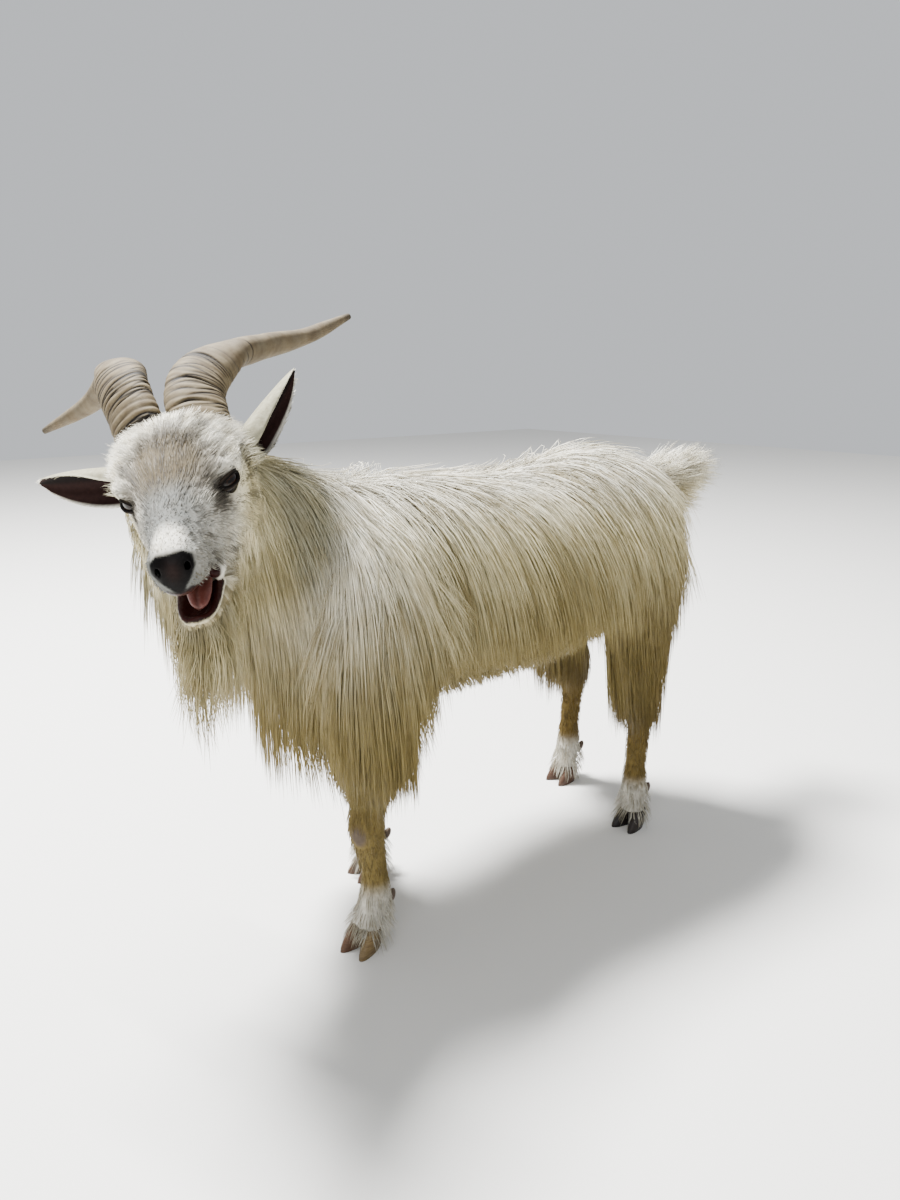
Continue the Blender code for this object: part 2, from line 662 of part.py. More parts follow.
def torso_core():
    return mesh_object("torso", *skin_rings(station_rings(TORSO, 15, 16), (0.012, 0.016)))


def neck_core():
    return mesh_object("neck", *skin_rings(limb_rings(NECK, 1, 7, 14), (0.01, 0.004)))


def shifted(points, start, end):
    """Limb points moved by start at the first and by end at the last, as x and distance from the midline."""
    last = len(points) - 1
    rows = []
    for i, (x, y, z, wide, deep) in enumerate(points):
        dx, dy = (a + (b - a) * i / last for a, b in zip(start, end))
        rows.append((x + dx, y + dy, z, wide, deep))
    return rows


def leg_part(name, points, side, count, sides, bulges):
    return mesh_object(name, *skin_rings(limb_rings(points, side, count, sides), bulges))


def bent(points):
    """Points of the muzzle drawn to the goat's left, more towards the lips."""
    share = np.clip((points[:, 0] - BEND_FROM) / (BEND_TO - BEND_FROM), 0, 1)
    return points + np.outer(share, (0, MUZZLE_BEND, 0))


def skull():
    points, faces = skin_rings(station_rings(SKULL, 16, 14), (0.010, 0.0025))
    return mesh_object("head", moved(bent(swell(points, faces, SKULL_FORMS)), HEAD), faces)


def cheek_fold(side):
    """The soft fold behind the corner of the mouth."""
    return blob(CHEEK_SIZE, (CHEEK_AT[0], -side * CHEEK_AT[1], CHEEK_AT[2]), (0, 0, 0), HEAD, (8, 5))


def mandible():
    points, faces = skin_rings(station_rings(MANDIBLE, 9, 12), (0.004, 0.0025))
    return mesh_object("lower_jaw", moved(points, HEAD @ JAW), faces)


def blob(size, place, turn, matrix, detail=(10, 6)):
    """An ellipsoid with these half-sizes, turned and placed in the matrix's frame."""
    around, rings = detail
    points, faces = [], []
    latitudes = [math.pi * (i + 1) / rings - math.pi / 2 for i in range(rings - 1)]
    for latitude in latitudes:
        for j in range(around):
            a = 2 * math.pi * j / around
            points.append((math.cos(latitude) * math.cos(a), math.cos(latitude) * math.sin(a), math.sin(latitude)))
    for i in range(rings - 2):
        for j in range(around):
            k = (j + 1) % around
            faces.append((i * around + j, i * around + k, (i + 1) * around + k, (i + 1) * around + j))
    low, high = len(points), len(points) + 1
    points += [(0, 0, -1), (0, 0, 1)]
    top = (rings - 2) * around
    for j in range(around):
        k = (j + 1) % around
        faces += [(k, j, low), (top + j, top + k, high)]
    local = Matrix.Translation(place) @ Euler(turn).to_matrix().to_4x4() @ Matrix.Diagonal((*size, 1))
    return mesh_object("blob", moved(np.array(points), matrix @ local), faces)


def eye_frame(side):
    """A frame on the eyeball: its x axis looks out of the head, y runs along the lids to the rear corner."""
    look = Vector((EYE_LOOK[0], -side * EYE_LOOK[1], EYE_LOOK[2])).normalized()
    back = Vector((-1, 0, 0))
    along = (back - look * back.dot(look)).normalized()
    up = look.cross(along) * -side
    turn = Matrix.Rotation(-side * LID_TILT, 3, look)
    along, up = turn @ along, turn @ up
    frame = Matrix((look, along, up)).transposed().to_4x4()
    return Matrix.Translation((EYE_AT[0], -side * EYE_AT[1], EYE_AT[2])) @ frame


def lids(side):
    """A raised rim round the eye opening, thicker above than below."""
    around, rings = 12, []
    for i in range(around):
        a = 2 * math.pi * i / around
        y, z = LID_LONG * math.cos(a), LID_HIGH * math.sin(a)
        x = math.sqrt(EYE_RADIUS**2 - y * y - z * z)
        centre = Vector((x, y, z))
        out = centre.normalized()
        spread = Vector((0, y, z)).normalized()
        spread = (spread - out * spread.dot(out)).normalized()
        thick = LID_THICK * (1.15 if math.sin(a) > 0.2 else 0.85)
        rings.append([
            centre + (out * math.cos(b) * 0.55 + spread * (math.sin(b) + 0.75)) * thick
            for b in (2 * math.pi * j / 5 for j in range(5))
        ])
    points = [corner for one in rings for corner in one]
    faces = []
    for i in range(around):
        n = (i + 1) % around
        for j in range(5):
            k = (j + 1) % 5
            faces.append((5 * i + j, 5 * i + k, 5 * n + k, 5 * n + j))
    return mesh_object("lids", moved(np.array(points), HEAD @ eye_frame(side)), faces)


def eyeball(side):
    return blob((EYE_RADIUS,) * 3, (0, 0, 0), (0, math.pi / 2, 0), HEAD @ eye_frame(side), (12, 7))


def ear(side):
    """A leaf-shaped cup of even thickness, rolled almost into a tube at its root."""
    root, tip, faces_to = (Vector(value) for value in EARS[side])
    axis = (tip - root).normalized()
    open_way = (faces_to - axis * faces_to.dot(axis)).normalized()
    across = axis.cross(open_way)
    length, ribs = (tip - root).length, 7
    rows = resample([(share, radius, half, 0) for share, radius, half in EAR_FORM], 9)
    outer, inner = [], []
    for share, radius, half, _ in rows:
        centre = root + axis * length * share + open_way * (radius - 0.010)
        thick = EAR_THICK * (1 - 0.5 * share)
        for j in range(ribs):
            a = math.radians(half) * (2 * j / (ribs - 1) - 1)
            way = across * math.sin(a) - open_way * math.cos(a)
            edge = 0.6 if j in (0, ribs - 1) else 1.0
            outer.append(centre + way * radius)
            inner.append(centre + way * (radius - thick * edge))
    count = len(rows)
    points = [HEAD @ point for point in outer + inner]
    offset = len(outer)
    faces = []
    for i in range(count - 1):
        for j in range(ribs - 1):
            a, b = i * ribs + j, i * ribs + j + 1
            c, d = a + ribs, b + ribs
            faces += [(a, b, d), (a, d, c), (offset + b, offset + a, offset + d), (offset + a, offset + c, offset + d)]
        for j, flip in ((0, False), (ribs - 1, True)):
            a, c = i * ribs + j, (i + 1) * ribs + j
            quad = (a, c, offset + c, offset + a)
            faces.append(quad[::-1] if flip else quad)
    for row in (0, count - 1):
        for j in range(ribs - 1):
            a, b = row * ribs + j, row * ribs + j + 1
            quad = (a, offset + a, offset + b, b)
            faces.append(quad if row == 0 else quad[::-1])
    return mesh_object("ear", points, faces)


def horn(side):
    """A tapering, ringed horn with an oval section whose keel turns as it sweeps back."""
    rows = resample([(*point, 0) for point in HORNS[side]], HORN_RINGS)[:, :3]
    ways = np.gradient(rows, axis=0)
    steps = np.linspace(0, 1, len(HORN_BROAD_TAPER))
    rings = []
    for i, (centre, way) in enumerate(zip(rows, ways)):
        share = i / (HORN_RINGS - 1)
        way = Vector(way).normalized()
        keel = Vector((math.cos(HORN_KEEL_TURN), -side * math.sin(HORN_KEEL_TURN), 0))
        keel = (keel - way * keel.dot(way)).normalized()
        flat = way.cross(keel)
        groove = HORN_RING_DEPTH * (1 - share) * (-1 if i % 2 else 1)
        broad = HORN_BROAD * np.interp(share, steps, HORN_BROAD_TAPER) + groove
        narrow = HORN_NARROW * np.interp(share, steps, HORN_NARROW_TAPER) + groove
        rings.append(ring(centre, np.array(keel), np.array(flat), broad, narrow, narrow, HORN_SIDES))
    points, faces = skin_rings(rings, (0.002, 0.004))
    return mesh_object("horn", moved(points, HEAD), faces)


def claw(frame, across, side_out):
    """One claw of a cloven hoof, flat on the floor and longer in front than behind, in its foot's frame."""
    rings = []
    for z, back, half, front, heel in CLAW:
        centre = np.array((back, across, z))
        ahead = np.array((-1, side_out * CLAW_SPLAY, 0))
        rings.append(ring(centre, np.array((0, 1, 0)), ahead, half, front, heel, CLAW_SIDES))
    points, faces = skin_rings(rings, (0.0, 0.001))
    return mesh_object("claw", moved(points, frame), faces)


def foot(part, side, points):
    """The claws and dewclaws of one foot by name, from its coronet and fetlock points."""
    coronet, fetlock = points[CORONET], points[FETLOCK]
    turn = Matrix.Rotation(-side * FOOT_TURN[part, side], 4, "Z")
    sole = Matrix.Translation((coronet[0] - TOE_AHEAD, side * coronet[1], 0)) @ turn
    heel = Matrix.Translation((fetlock[0], side * fetlock[1], fetlock[2] - DEWCLAW_DROP)) @ turn
    made = {}
    for out, word in ((-side, "inner"), (side, "outer")):
        made[f"claw_{part}_{SIDE_WORDS[side]}_{word}"] = claw(sole, out * CLAW_APART, out)
        place = (fetlock[4] + DEWCLAW_BACK, out * DEWCLAW_APART, 0)
        nub = blob(DEWCLAW, place, (0, DEWCLAW_LEAN, 0), heel, (6, 4))
        made[f"dewclaw_{part}_{SIDE_WORDS[side]}_{word}"] = nub
    return made


def tongue():
    """The tongue, lying on the lower jaw and raised towards the goat's left."""
    rings = limb_rings(TONGUE, 1, 7, 10)
    points, faces = skin_rings(rings, (0.003, 0.003))
    return mesh_object("tongue", moved(points, HEAD @ JAW), faces)


def beard_core():
    """The full root of the beard, under the chin and throat."""
    points, faces = skin_rings(limb_rings(BEARD, 1, 6, 10), (0.004, 0.006))
    return mesh_object("beard", moved(points, HEAD @ JAW), faces)


def cores():
    """Every coated node as whole, bare flesh."""
    made = {"torso": torso_core(), "neck": neck_core(), "lower_jaw": mandible(), "beard": beard_core()}
    made["tail"] = leg_part("tail", TAIL, 1, 6, 8, (0.004, 0.006))
    made["head"] = skull()
    for part, upper, lower in (("foreleg", SHOULDER, FORE_SHANK), ("hindleg", THIGH, HIND_SHANK)):
        for side, word in SIDE_WORDS.items():
            joint, toe = STANCE[part, side]
            thick, thin = shifted(upper, (0, 0), joint), shifted(lower, joint, toe)
            made[f"{part}_upper_{word}"] = leg_part(f"{part}_upper_{word}", thick, side, 7, 10, (0.012, 0.004))
            made[f"{part}_lower_{word}"] = leg_part(f"{part}_lower_{word}", thin, side, 10, 8, (0.004, 0.003))
    return made


def part_cores(nodes, whole):
    """Cuts each core clear of those that it grows from."""
    grows_from = {
        "neck": ["torso"],
        "head": ["neck"],
        "lower_jaw": ["head", "neck"],
        "beard": ["lower_jaw", "head", "neck"],
        "tail": ["torso"],
    }
    for word in SIDE_WORDS.values():
        for part in ("foreleg", "hindleg"):
            grows_from[f"{part}_upper_{word}"] = ["torso", "neck"]
            grows_from[f"{part}_lower_{word}"] = [f"{part}_upper_{word}"]
    for name, others in grows_from.items():
        clear_of(nodes[name], [whole[other] for other in others], CORE_GAP)


def face(nodes, whole):
    """Eyes, lids and nostrils."""
    for side, word in SIDE_WORDS.items():
        nodes[f"eye_{word}"] = eyeball(side)
        whole[f"eye_{word}"] = nodes[f"eye_{word}"].data.copy()
        rim = lids(side)
        place = (NOSTRIL[0], MUZZLE_BEND - side * NOSTRIL[1], NOSTRIL[2])
        hollow = blob(NOSTRIL_SIZE, place, (0, 0.5, side * 0.5), HEAD, (8, 5))
        combine(nodes["head"], "UNION", [rim.data])
        combine(nodes["head"], "DIFFERENCE", [grown(whole[f"eye_{word}"], GAP), hollow.data])
        for used in (rim, hollow):
            bpy.data.objects.remove(used)
    keep_largest(nodes["head"])


def mouth(nodes, whole):
    """The folds that close the corners of the mouth, and the tongue, cut clear of them and of the jaws."""
    folds = [cheek_fold(side) for side in SIDE_WORDS]
    for fold in folds:
        clear_of(fold, [whole["lower_jaw"]], CORE_GAP)
    nodes["tongue"] = tongue()
    clear_of(nodes["tongue"], [whole["head"], whole["lower_jaw"], *[fold.data for fold in folds]])
    combine(nodes["head"], "UNION", [fold.data for fold in folds])
    for fold in folds:
        bpy.data.objects.remove(fold)


def horns_and_ears(nodes, whole):
    """The horns, which the head is cut clear of, and the ears, which are cut clear of the head."""
    for side, word in SIDE_WORDS.items():
        nodes[f"horn_{word}"], nodes[f"ear_{word}"] = horn(side), ear(side)
        whole[f"horn_{word}"] = nodes[f"horn_{word}"].data.copy()
        clear_of(nodes["head"], [whole[f"horn_{word}"]])
        clear_of(nodes["neck"], [whole[f"horn_{word}"]])
        clear_of(nodes[f"ear_{word}"], [whole["head"], whole[f"horn_{word}"]])
        whole[f"ear_{word}"] = nodes[f"ear_{word}"].data.copy()


def coat_rows():
    """For each node with a coat: its rows of locks, the sides that they are made for, and their frame."""
    both, head_sides = (LEFT, RIGHT), (-LEFT, -RIGHT)
    rows = {"torso": (TORSO_ROWS, both, None), "neck": (NECK_ROWS, both, None), "tail": (TAIL_ROWS, both, None)}
    rows["head"] = (HEAD_ROWS, head_sides, HEAD)
    rows["beard"] = (BEARD_ROWS, head_sides, HEAD @ JAW)
    for side, word in SIDE_WORDS.items():
        rows[f"foreleg_upper_{word}"] = (SHOULDER_ROWS, (side,), None)
        rows[f"hindleg_upper_{word}"] = (THIGH_ROWS, (side,), None)
        for part in ("foreleg", "hindleg"):
            wider = STANCE[part, side][1][1]
            rows[f"{part}_lower_{word}"] = ([spread(row, wider) for row in SHANK_ROWS[part]], (side,), None)
    return rows


def spread(row, wider):
    """The row moved away from the midline."""
    start, end = ((x, y + wider, z) for x, y, z in (row.start, row.end))
    return row._replace(start=start, end=end)


def coat_nodes(nodes, whole):
    """Makes every node's locks and fuses them on, clear of all other cores and of the coats that win over theirs."""
    skins = [surface(nodes[name]) for name in nodes if not name.startswith(("eye", "ear", "horn", "tongue"))]
    locks = {}
    for number, (name, (table, sides, frame)) in enumerate(sorted(coat_rows().items())):
        draw = random.Random(SEED + number)
        locks[name] = locks_of(nodes[name], skins, table, sides, draw, frame)
    wins_over = {"torso": ["tail"], "neck": ["torso"], "beard": ["neck", "torso"], "head": ["neck", "beard", "torso"]}
    for word in SIDE_WORDS.values():
        for part in ("foreleg", "hindleg"):
            upper = f"{part}_upper_{word}"
            wins_over[upper] = [f"{part}_lower_{word}"]
            wins_over["torso"].append(upper)
            wins_over["neck"].append(upper)
    cores_grown = {name: grown(mesh, GAP) for name, mesh in whole.items()}
    locks_grown = {name: [grown(lock, GAP) for lock in own] for name, own in locks.items()}
    for name, own in locks.items():
        others = [mesh for other, mesh in cores_grown.items() if other != name]
        winners = [mesh for other in wins_over.get(name, ()) for mesh in locks_grown[other]]
        coat = bpy.data.objects.new("coat", own[0].copy())
        bpy.context.scene.collection.objects.link(coat)
        combine(coat, "UNION", own[1:])
        combine(coat, "DIFFERENCE", others + winners)
        combine(nodes[name], "UNION", [coat.data])
        bpy.data.objects.remove(coat)
        keep_largest(nodes[name])
    return locks


def hooves(nodes, whole, locks):
    """The claws and dewclaws, cut clear of what they grow from."""
    for part, lower in (("foreleg", FORE_SHANK), ("hindleg", HIND_SHANK)):
        for side, word in SIDE_WORDS.items():
            shank = f"{part}_lower_{word}"
            for name, piece in foot(part, side, shifted(lower, *STANCE[part, side])).items():
                nodes[name] = piece
                clear_of(piece, [whole[shank], *locks[shank]])


def paint(nodes):
    """Gives every node its name and material."""
    looks = {
        "eye": material("eye", EYE_AMBER, 0.1),
        "horn": material("horn", HORN_BROWN, 0.6),
        "claw": material("hoof", HOOF_BROWN, 0.5),
        "tongue": material("flesh", FLESH, 0.45),
    }
    looks["dewclaw"] = looks["claw"]
    coat = material("coat", CREAM, 0.85)
    for name, node in nodes.items():
        named(node, name, looks.get(name.split("_")[0], coat))


def stand_over_origin():
    """Moves everything so that the middle of its bounding box stands over the origin, and bakes the move in."""
    bodies = list(bpy.data.objects)
    low = [min(v.co[axis] for body in bodies for v in body.data.vertices) for axis in (0, 1)]
    high = [max(v.co[axis] for body in bodies for v in body.data.vertices) for axis in (0, 1)]
    shift = Matrix.Translation((-(low[0] + high[0]) / 2, -(low[1] + high[1]) / 2, 0))
    for body in bodies:
        body.data.transform(shift)


def build():
    for thing in list(bpy.data.objects):
        bpy.data.objects.remove(thing)
    nodes = cores()
    whole = {name: node.data.copy() for name, node in nodes.items()}
    part_cores(nodes, whole)
    face(nodes, whole)
    mouth(nodes, whole)
    horns_and_ears(nodes, whole)
    locks = coat_nodes(nodes, whole)
    hooves(nodes, whole, locks)
    paint(nodes)
    stand_over_origin()


build()
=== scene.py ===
"""The long-coated pygmy goat, dressed: skin, coat, ears, eyes, mouth, horns and hooves, materials and light.

Shapes are written in the goat's own frame, in metres: +Z up, the goat faces -X and its left side is -Y. The head's
shapes are written in the head's frame: origin midway between the eyes, +X to the nose, +Y to its left, +Z up.
"""

import math
from collections import namedtuple

import bpy
import numpy as np
from mathutils import Matrix, Vector
from mathutils.bvhtree import BVHTree
from mathutils.kdtree import KDTree


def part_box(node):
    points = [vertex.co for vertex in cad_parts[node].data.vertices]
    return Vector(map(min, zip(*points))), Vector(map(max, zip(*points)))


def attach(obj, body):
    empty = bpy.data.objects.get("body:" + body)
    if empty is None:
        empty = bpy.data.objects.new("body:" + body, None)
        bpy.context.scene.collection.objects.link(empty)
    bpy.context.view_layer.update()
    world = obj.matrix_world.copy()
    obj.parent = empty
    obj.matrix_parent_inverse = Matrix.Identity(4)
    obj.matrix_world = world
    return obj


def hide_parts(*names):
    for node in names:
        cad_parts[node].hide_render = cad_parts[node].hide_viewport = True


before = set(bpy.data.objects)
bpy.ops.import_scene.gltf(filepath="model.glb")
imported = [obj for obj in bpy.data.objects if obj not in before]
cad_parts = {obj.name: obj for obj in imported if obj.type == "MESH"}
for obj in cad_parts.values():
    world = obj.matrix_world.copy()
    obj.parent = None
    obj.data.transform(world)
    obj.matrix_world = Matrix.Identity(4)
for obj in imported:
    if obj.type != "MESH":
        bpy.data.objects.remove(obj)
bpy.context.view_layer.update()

SEED = 7
LEFT, RIGHT = -1, 1
SIDE_WORDS = {LEFT: "left", RIGHT: "right"}
DOWN = np.array((0.0, 0.0, -1.0))

# The head's place, and how it is turned from looking straight ahead.
HEAD_AT = (-0.399, -0.062, 0.538)
HEAD_YAW, HEAD_PITCH, HEAD_ROLL = (math.radians(angle) for angle in (57.9, 8.2, 13.5))
HEAD = (
    Matrix.Translation(HEAD_AT)
    @ Matrix.Rotation(math.pi + HEAD_YAW, 4, "Z")
    @ Matrix.Rotation(HEAD_PITCH, 4, "Y")
    @ Matrix.Rotation(HEAD_ROLL, 4, "X")
)

DOWN_IN_HEAD = DOWN @ np.array(HEAD.to_3x3())

# Torso stations: x, top, height of the widest line, bottom, half-width.
TORSO = (
    (-0.292, 0.425, 0.375, 0.330, 0.040),
    (-0.275, 0.468, 0.380, 0.300, 0.064),
    (-0.245, 0.500, 0.385, 0.283, 0.083),
    (-0.200, 0.520, 0.385, 0.272, 0.096),
    (-0.130, 0.526, 0.385, 0.268, 0.106),
    (-0.050, 0.517, 0.385, 0.268, 0.117),
    (0.030, 0.516, 0.385, 0.270, 0.123),
    (0.110, 0.526, 0.392, 0.276, 0.121),
    (0.180, 0.533, 0.400, 0.295, 0.112),
    (0.240, 0.528, 0.415, 0.330, 0.103),
    (0.285, 0.510, 0.420, 0.350, 0.088),
    (0.318, 0.480, 0.425, 0.375, 0.062),
)
# Limb points: x, distance from the midline, z, half-width across, half-depth fore and aft.
NECK = (
    (-0.195, 0.000, 0.425, 0.075, 0.098),
    (-0.245, 0.002, 0.452, 0.066, 0.088),
    (-0.290, 0.010, 0.480, 0.058, 0.076),
    (-0.325, 0.014, 0.502, 0.052, 0.067),
    (-0.352, 0.008, 0.520, 0.046, 0.058),
    (-0.372, -0.012, 0.530, 0.038, 0.046),
)
TAIL = (
    (0.300, 0.000, 0.470, 0.024, 0.026),
    (0.335, 0.000, 0.482, 0.018, 0.018),
    (0.370, 0.002, 0.492, 0.014, 0.013),
    (0.402, 0.004, 0.499, 0.009, 0.009),
)
SHOULDER = (
    (-0.175, 0.072, 0.455, 0.022, 0.044),
    (-0.200, 0.082, 0.400, 0.032, 0.058),
    (-0.215, 0.084, 0.345, 0.034, 0.052),
    (-0.205, 0.080, 0.290, 0.029, 0.040),
    (-0.208, 0.077, 0.245, 0.024, 0.030),
    (-0.214, 0.073, 0.200, 0.020, 0.023),
)
THIGH = (
    (0.246, 0.066, 0.472, 0.026, 0.046),
    (0.234, 0.078, 0.420, 0.034, 0.062),
    (0.218, 0.084, 0.355, 0.036, 0.058),
    (0.215, 0.084, 0.300, 0.031, 0.047),
    (0.225, 0.082, 0.250, 0.024, 0.034),
    (0.240, 0.080, 0.215, 0.018, 0.025),
)
FORE_SHANK = (
    (-0.214, 0.073, 0.215, 0.019, 0.022),
    (-0.219, 0.071, 0.175, 0.018, 0.020),
    (-0.222, 0.070, 0.148, 0.020, 0.021),
    (-0.218, 0.069, 0.122, 0.016, 0.017),
    (-0.215, 0.068, 0.088, 0.014, 0.0155),
    (-0.216, 0.067, 0.058, 0.018, 0.019),
    (-0.225, 0.067, 0.038, 0.0175, 0.0165),
    (-0.233, 0.067, 0.024, 0.0195, 0.019),
)
HIND_SHANK = (
    (0.237, 0.080, 0.228, 0.018, 0.026),
    (0.245, 0.080, 0.190, 0.018, 0.025),
    (0.241, 0.080, 0.150, 0.016, 0.0180),
    (0.234, 0.080, 0.100, 0.0145, 0.0160),
    (0.231, 0.080, 0.060, 0.018, 0.0190),
    (0.227, 0.080, 0.038, 0.0175, 0.0165),
    (0.222, 0.080, 0.024, 0.0195, 0.0185),
)
FETLOCK, CORONET = -3, -1
# How far each leg's lower joint, and then its foot, stand from that plain stance: x and distance from the midline.
STANCE = {
    ("foreleg", LEFT): ((0.000, 0.000), (0.012, 0.000)),
    ("foreleg", RIGHT): ((0.055, 0.000), (0.104, -0.010)),
    ("hindleg", LEFT): ((-0.010, 0.000), (0.014, -0.002)),
    ("hindleg", RIGHT): ((0.036, 0.006), (0.048, 0.007)),
}
FOOT_TURN = {
    ("foreleg", LEFT): math.radians(16),
    ("foreleg", RIGHT): math.radians(6),
    ("hindleg", LEFT): math.radians(5),
    ("hindleg", RIGHT): math.radians(2),
}

# Claw sections: height, how far its middle is set back, half-width, and reach to the front and to the heel.
CLAW = (
    (0.0000, 0.000, 0.0078, 0.0250, 0.0150),
    (0.0060, 0.001, 0.0086, 0.0240, 0.0165),
    (0.0150, 0.003, 0.0086, 0.0195, 0.0165),
    (0.0250, 0.006, 0.0076, 0.0135, 0.0130),
)
CLAW_APART, CLAW_SPLAY, TOE_AHEAD = 0.0100, 0.16, 0.002
DEWCLAW = (0.0048, 0.0042, 0.0085)
DEWCLAW_BACK, DEWCLAW_APART, DEWCLAW_DROP, DEWCLAW_LEAN = 0.001, 0.0085, 0.006, 0.5

# Head stations in the head's frame: x, top, height of the widest line, bottom, half-width.
SKULL = (
    (-0.088, 0.020, -0.005, -0.044, 0.0430),
    (-0.070, 0.038, -0.004, -0.066, 0.0545),
    (-0.045, 0.051, 0.000, -0.078, 0.0575),
    (-0.020, 0.052, 0.002, -0.080, 0.0555),
    (0.005, 0.045, 0.002, -0.078, 0.0475),
    (0.030, 0.030, -0.004, -0.072, 0.0405),
    (0.050, 0.020, -0.012, -0.066, 0.0340),
    (0.066, 0.0130, -0.020, -0.059, 0.0275),
    (0.084, 0.0065, -0.026, -0.0545, 0.0235),
    (0.102, 0.0005, -0.030, -0.0535, 0.0220),
    (0.116, -0.0055, -0.032, -0.0535, 0.0205),
    (0.126, -0.0130, -0.034, -0.0520, 0.0170),
    (0.1315, -0.0220, -0.036, -0.0480, 0.0105),
)
# Soft swellings and hollows of the head: x, distance from the midline, z, radius, height.
SKULL_FORMS = (
    (0.000, 0.046, 0.016, 0.020, 0.0050),
    (0.034, 0.036, 0.002, 0.018, -0.0030),
    (-0.012, 0.043, -0.042, 0.030, 0.0045),
    (0.119, 0.017, -0.024, 0.010, 0.0035),
    (0.100, 0.020, -0.046, 0.014, 0.0020),
    (-0.040, 0.020, 0.045, 0.020, 0.0040),
)
# The brow's fold over each eye, and the hollow before it, for the dressed head only.
BROW_FORMS = (
    (0.012, 0.045, 0.015, 0.0085, 0.0055),
    (-0.004, 0.050, 0.013, 0.0085, 0.0050),
    (0.024, 0.041, 0.000, 0.0090, -0.0030),
)
MUZZLE_BEND, BEND_FROM, BEND_TO = 0.0035, 0.030, 0.120
MANDIBLE = (
    (-0.020, -0.045, -0.058, -0.076, 0.0220),
    (0.020, -0.046, -0.057, -0.071, 0.0235),
    (0.055, -0.049, -0.058, -0.069, 0.0210),
    (0.074, -0.051, -0.059, -0.068, 0.0190),
    (0.087, -0.053, -0.060, -0.067, 0.0150),
    (0.094, -0.055, -0.061, -0.066, 0.0095),
)
TONGUE = (
    (0.025, 0.000, -0.048, 0.0120, 0.0060),
    (0.048, 0.001, -0.048, 0.0125, 0.0060),
    (0.066, 0.003, -0.049, 0.0110, 0.0055),
    (0.080, 0.004, -0.052, 0.0075, 0.0040),
)
# The tongue's end, rounder than in the solids.
TONGUE_TIP = (
    (0.0765, 0.0036, -0.0512, 0.0088, 0.0044),
    (0.0820, 0.0042, -0.0528, 0.0058, 0.0032),
    (0.0845, 0.0044, -0.0536, 0.0022, 0.0014),
)
# The fold of the cheek that closes the corner of the mouth: place beside the midline, and half-sizes.
CHEEK_AT, CHEEK_SIZE = (0.034, 0.0150, -0.0630), (0.022, 0.0088, 0.0100)
JAW_SUNK = 0.0085
JAW_HINGE = (-0.045, 0.0, -0.030)
JAW_OPEN, JAW_SWING = math.radians(13.5), math.radians(-2.0)
JAW = (
    Matrix.Translation(JAW_HINGE)
    @ Matrix.Rotation(JAW_SWING, 4, "Z")
    @ Matrix.Rotation(JAW_OPEN, 4, "Y")
    @ Matrix.Translation([-value for value in JAW_HINGE])
)
# The nose pad's outline: heights, and half-widths there.
PAD_HEIGHTS = (-0.054, -0.048, -0.042, -0.036, -0.028, -0.020, -0.015)
PAD_WIDTHS = (0.001, 0.0025, 0.0065, 0.0120, 0.0175, 0.0170, 0.0105)
NOSTRIL = (0.1215, 0.0130, -0.0265)
NOSTRIL_SIZE = (0.0105, 0.0048, 0.0074)

EYE_AT = (0.0085, 0.0400, 0.001)
EYE_RADIUS = 0.0140
EYE_LOOK = (0.66, 0.74, 0.12)
LID_LONG, LID_HIGH = 0.0086, 0.0029
# How far each eye lies deeper than its solid.
EYE_SUNK = {LEFT: 0.0025, RIGHT: 0.0050}
# The lids from the opening outwards: how many times the opening's size, and the height over the eyeball.
LID_BAND = (
    (1.00, 0.0002),
    (1.06, 0.0014),
    (1.20, 0.0026),
    (1.38, 0.0016),
    (1.60, 0.0022),
    (1.90, 0.0004),
    (2.30, -0.0030),
)
LID_TILT = math.radians(8)
IRIS, PUPIL_LONG, PUPIL_HIGH = 0.0085, 0.0048, 0.0016

# Each ear: root and tip in the head's frame, and the way its cup faces.
EARS = {
    LEFT: ((-0.064, 0.048, 0.008), (-0.132, 0.122, 0.054), (0.05, 0.96, -0.22)),
    RIGHT: ((-0.064, -0.048, 0.006), (-0.104, -0.156, 0.010), (0.84, -0.29, -0.42)),
}
EAR_THICK = 0.0026
EAR_ROWS, EAR_RIBS = 40, 31
# Ear stations: share of the length, arc radius, half-angle of the cup in degrees.
EAR_FORM = (
    (0.00, 0.0135, 145),
    (0.16, 0.0180, 120),
    (0.34, 0.0212, 98),
    (0.54, 0.0215, 84),
    (0.74, 0.0185, 74),
    (0.90, 0.0125, 62),
    (1.00, 0.0035, 50),
)

# Each horn's centre line in the head's frame.
HORNS = {
    LEFT: (
        (-0.045, 0.027, 0.030),
        (-0.090, 0.024, 0.068),
        (-0.137, 0.048, 0.084),
        (-0.184, 0.084, 0.082),
        (-0.231, 0.130, 0.077),
        (-0.279, 0.181, 0.082),
    ),
    RIGHT: (
        (-0.045, -0.027, 0.030),
        (-0.095, -0.041, 0.080),
        (-0.145, -0.053, 0.093),
        (-0.192, -0.076, 0.082),
        (-0.235, -0.119, 0.060),
        (-0.273, -0.185, 0.040),
    ),
}
HORN_BROAD, HORN_NARROW = 0.0290, 0.0180
HORN_BROAD_TAPER = (1.00, 0.99, 0.93, 0.73, 0.52, 0.37, 0.27, 0.12)
HORN_NARROW_TAPER = (1.00, 0.99, 0.95, 0.83, 0.69, 0.54, 0.40, 0.18)
# Deep cracks round the horn: share of the length, half-width as a share, and depth.
HORN_CRACKS = (
    (0.045, 0.0030, 0.0007),
    (0.098, 0.0050, 0.0024),
    (0.138, 0.0025, 0.0006),
    (0.176, 0.0035, 0.0009),
    (0.232, 0.0025, 0.0006),
    (0.296, 0.0050, 0.0022),
    (0.350, 0.0020, 0.0004),
)
FINE_CRACKS = 34
HORN_KEEL_TURN = math.radians(-50)

CALLUS_AT, CALLUS_SIZE = np.array((-0.238, -0.080, 0.146)), np.array((0.011, 0.013, 0.015))

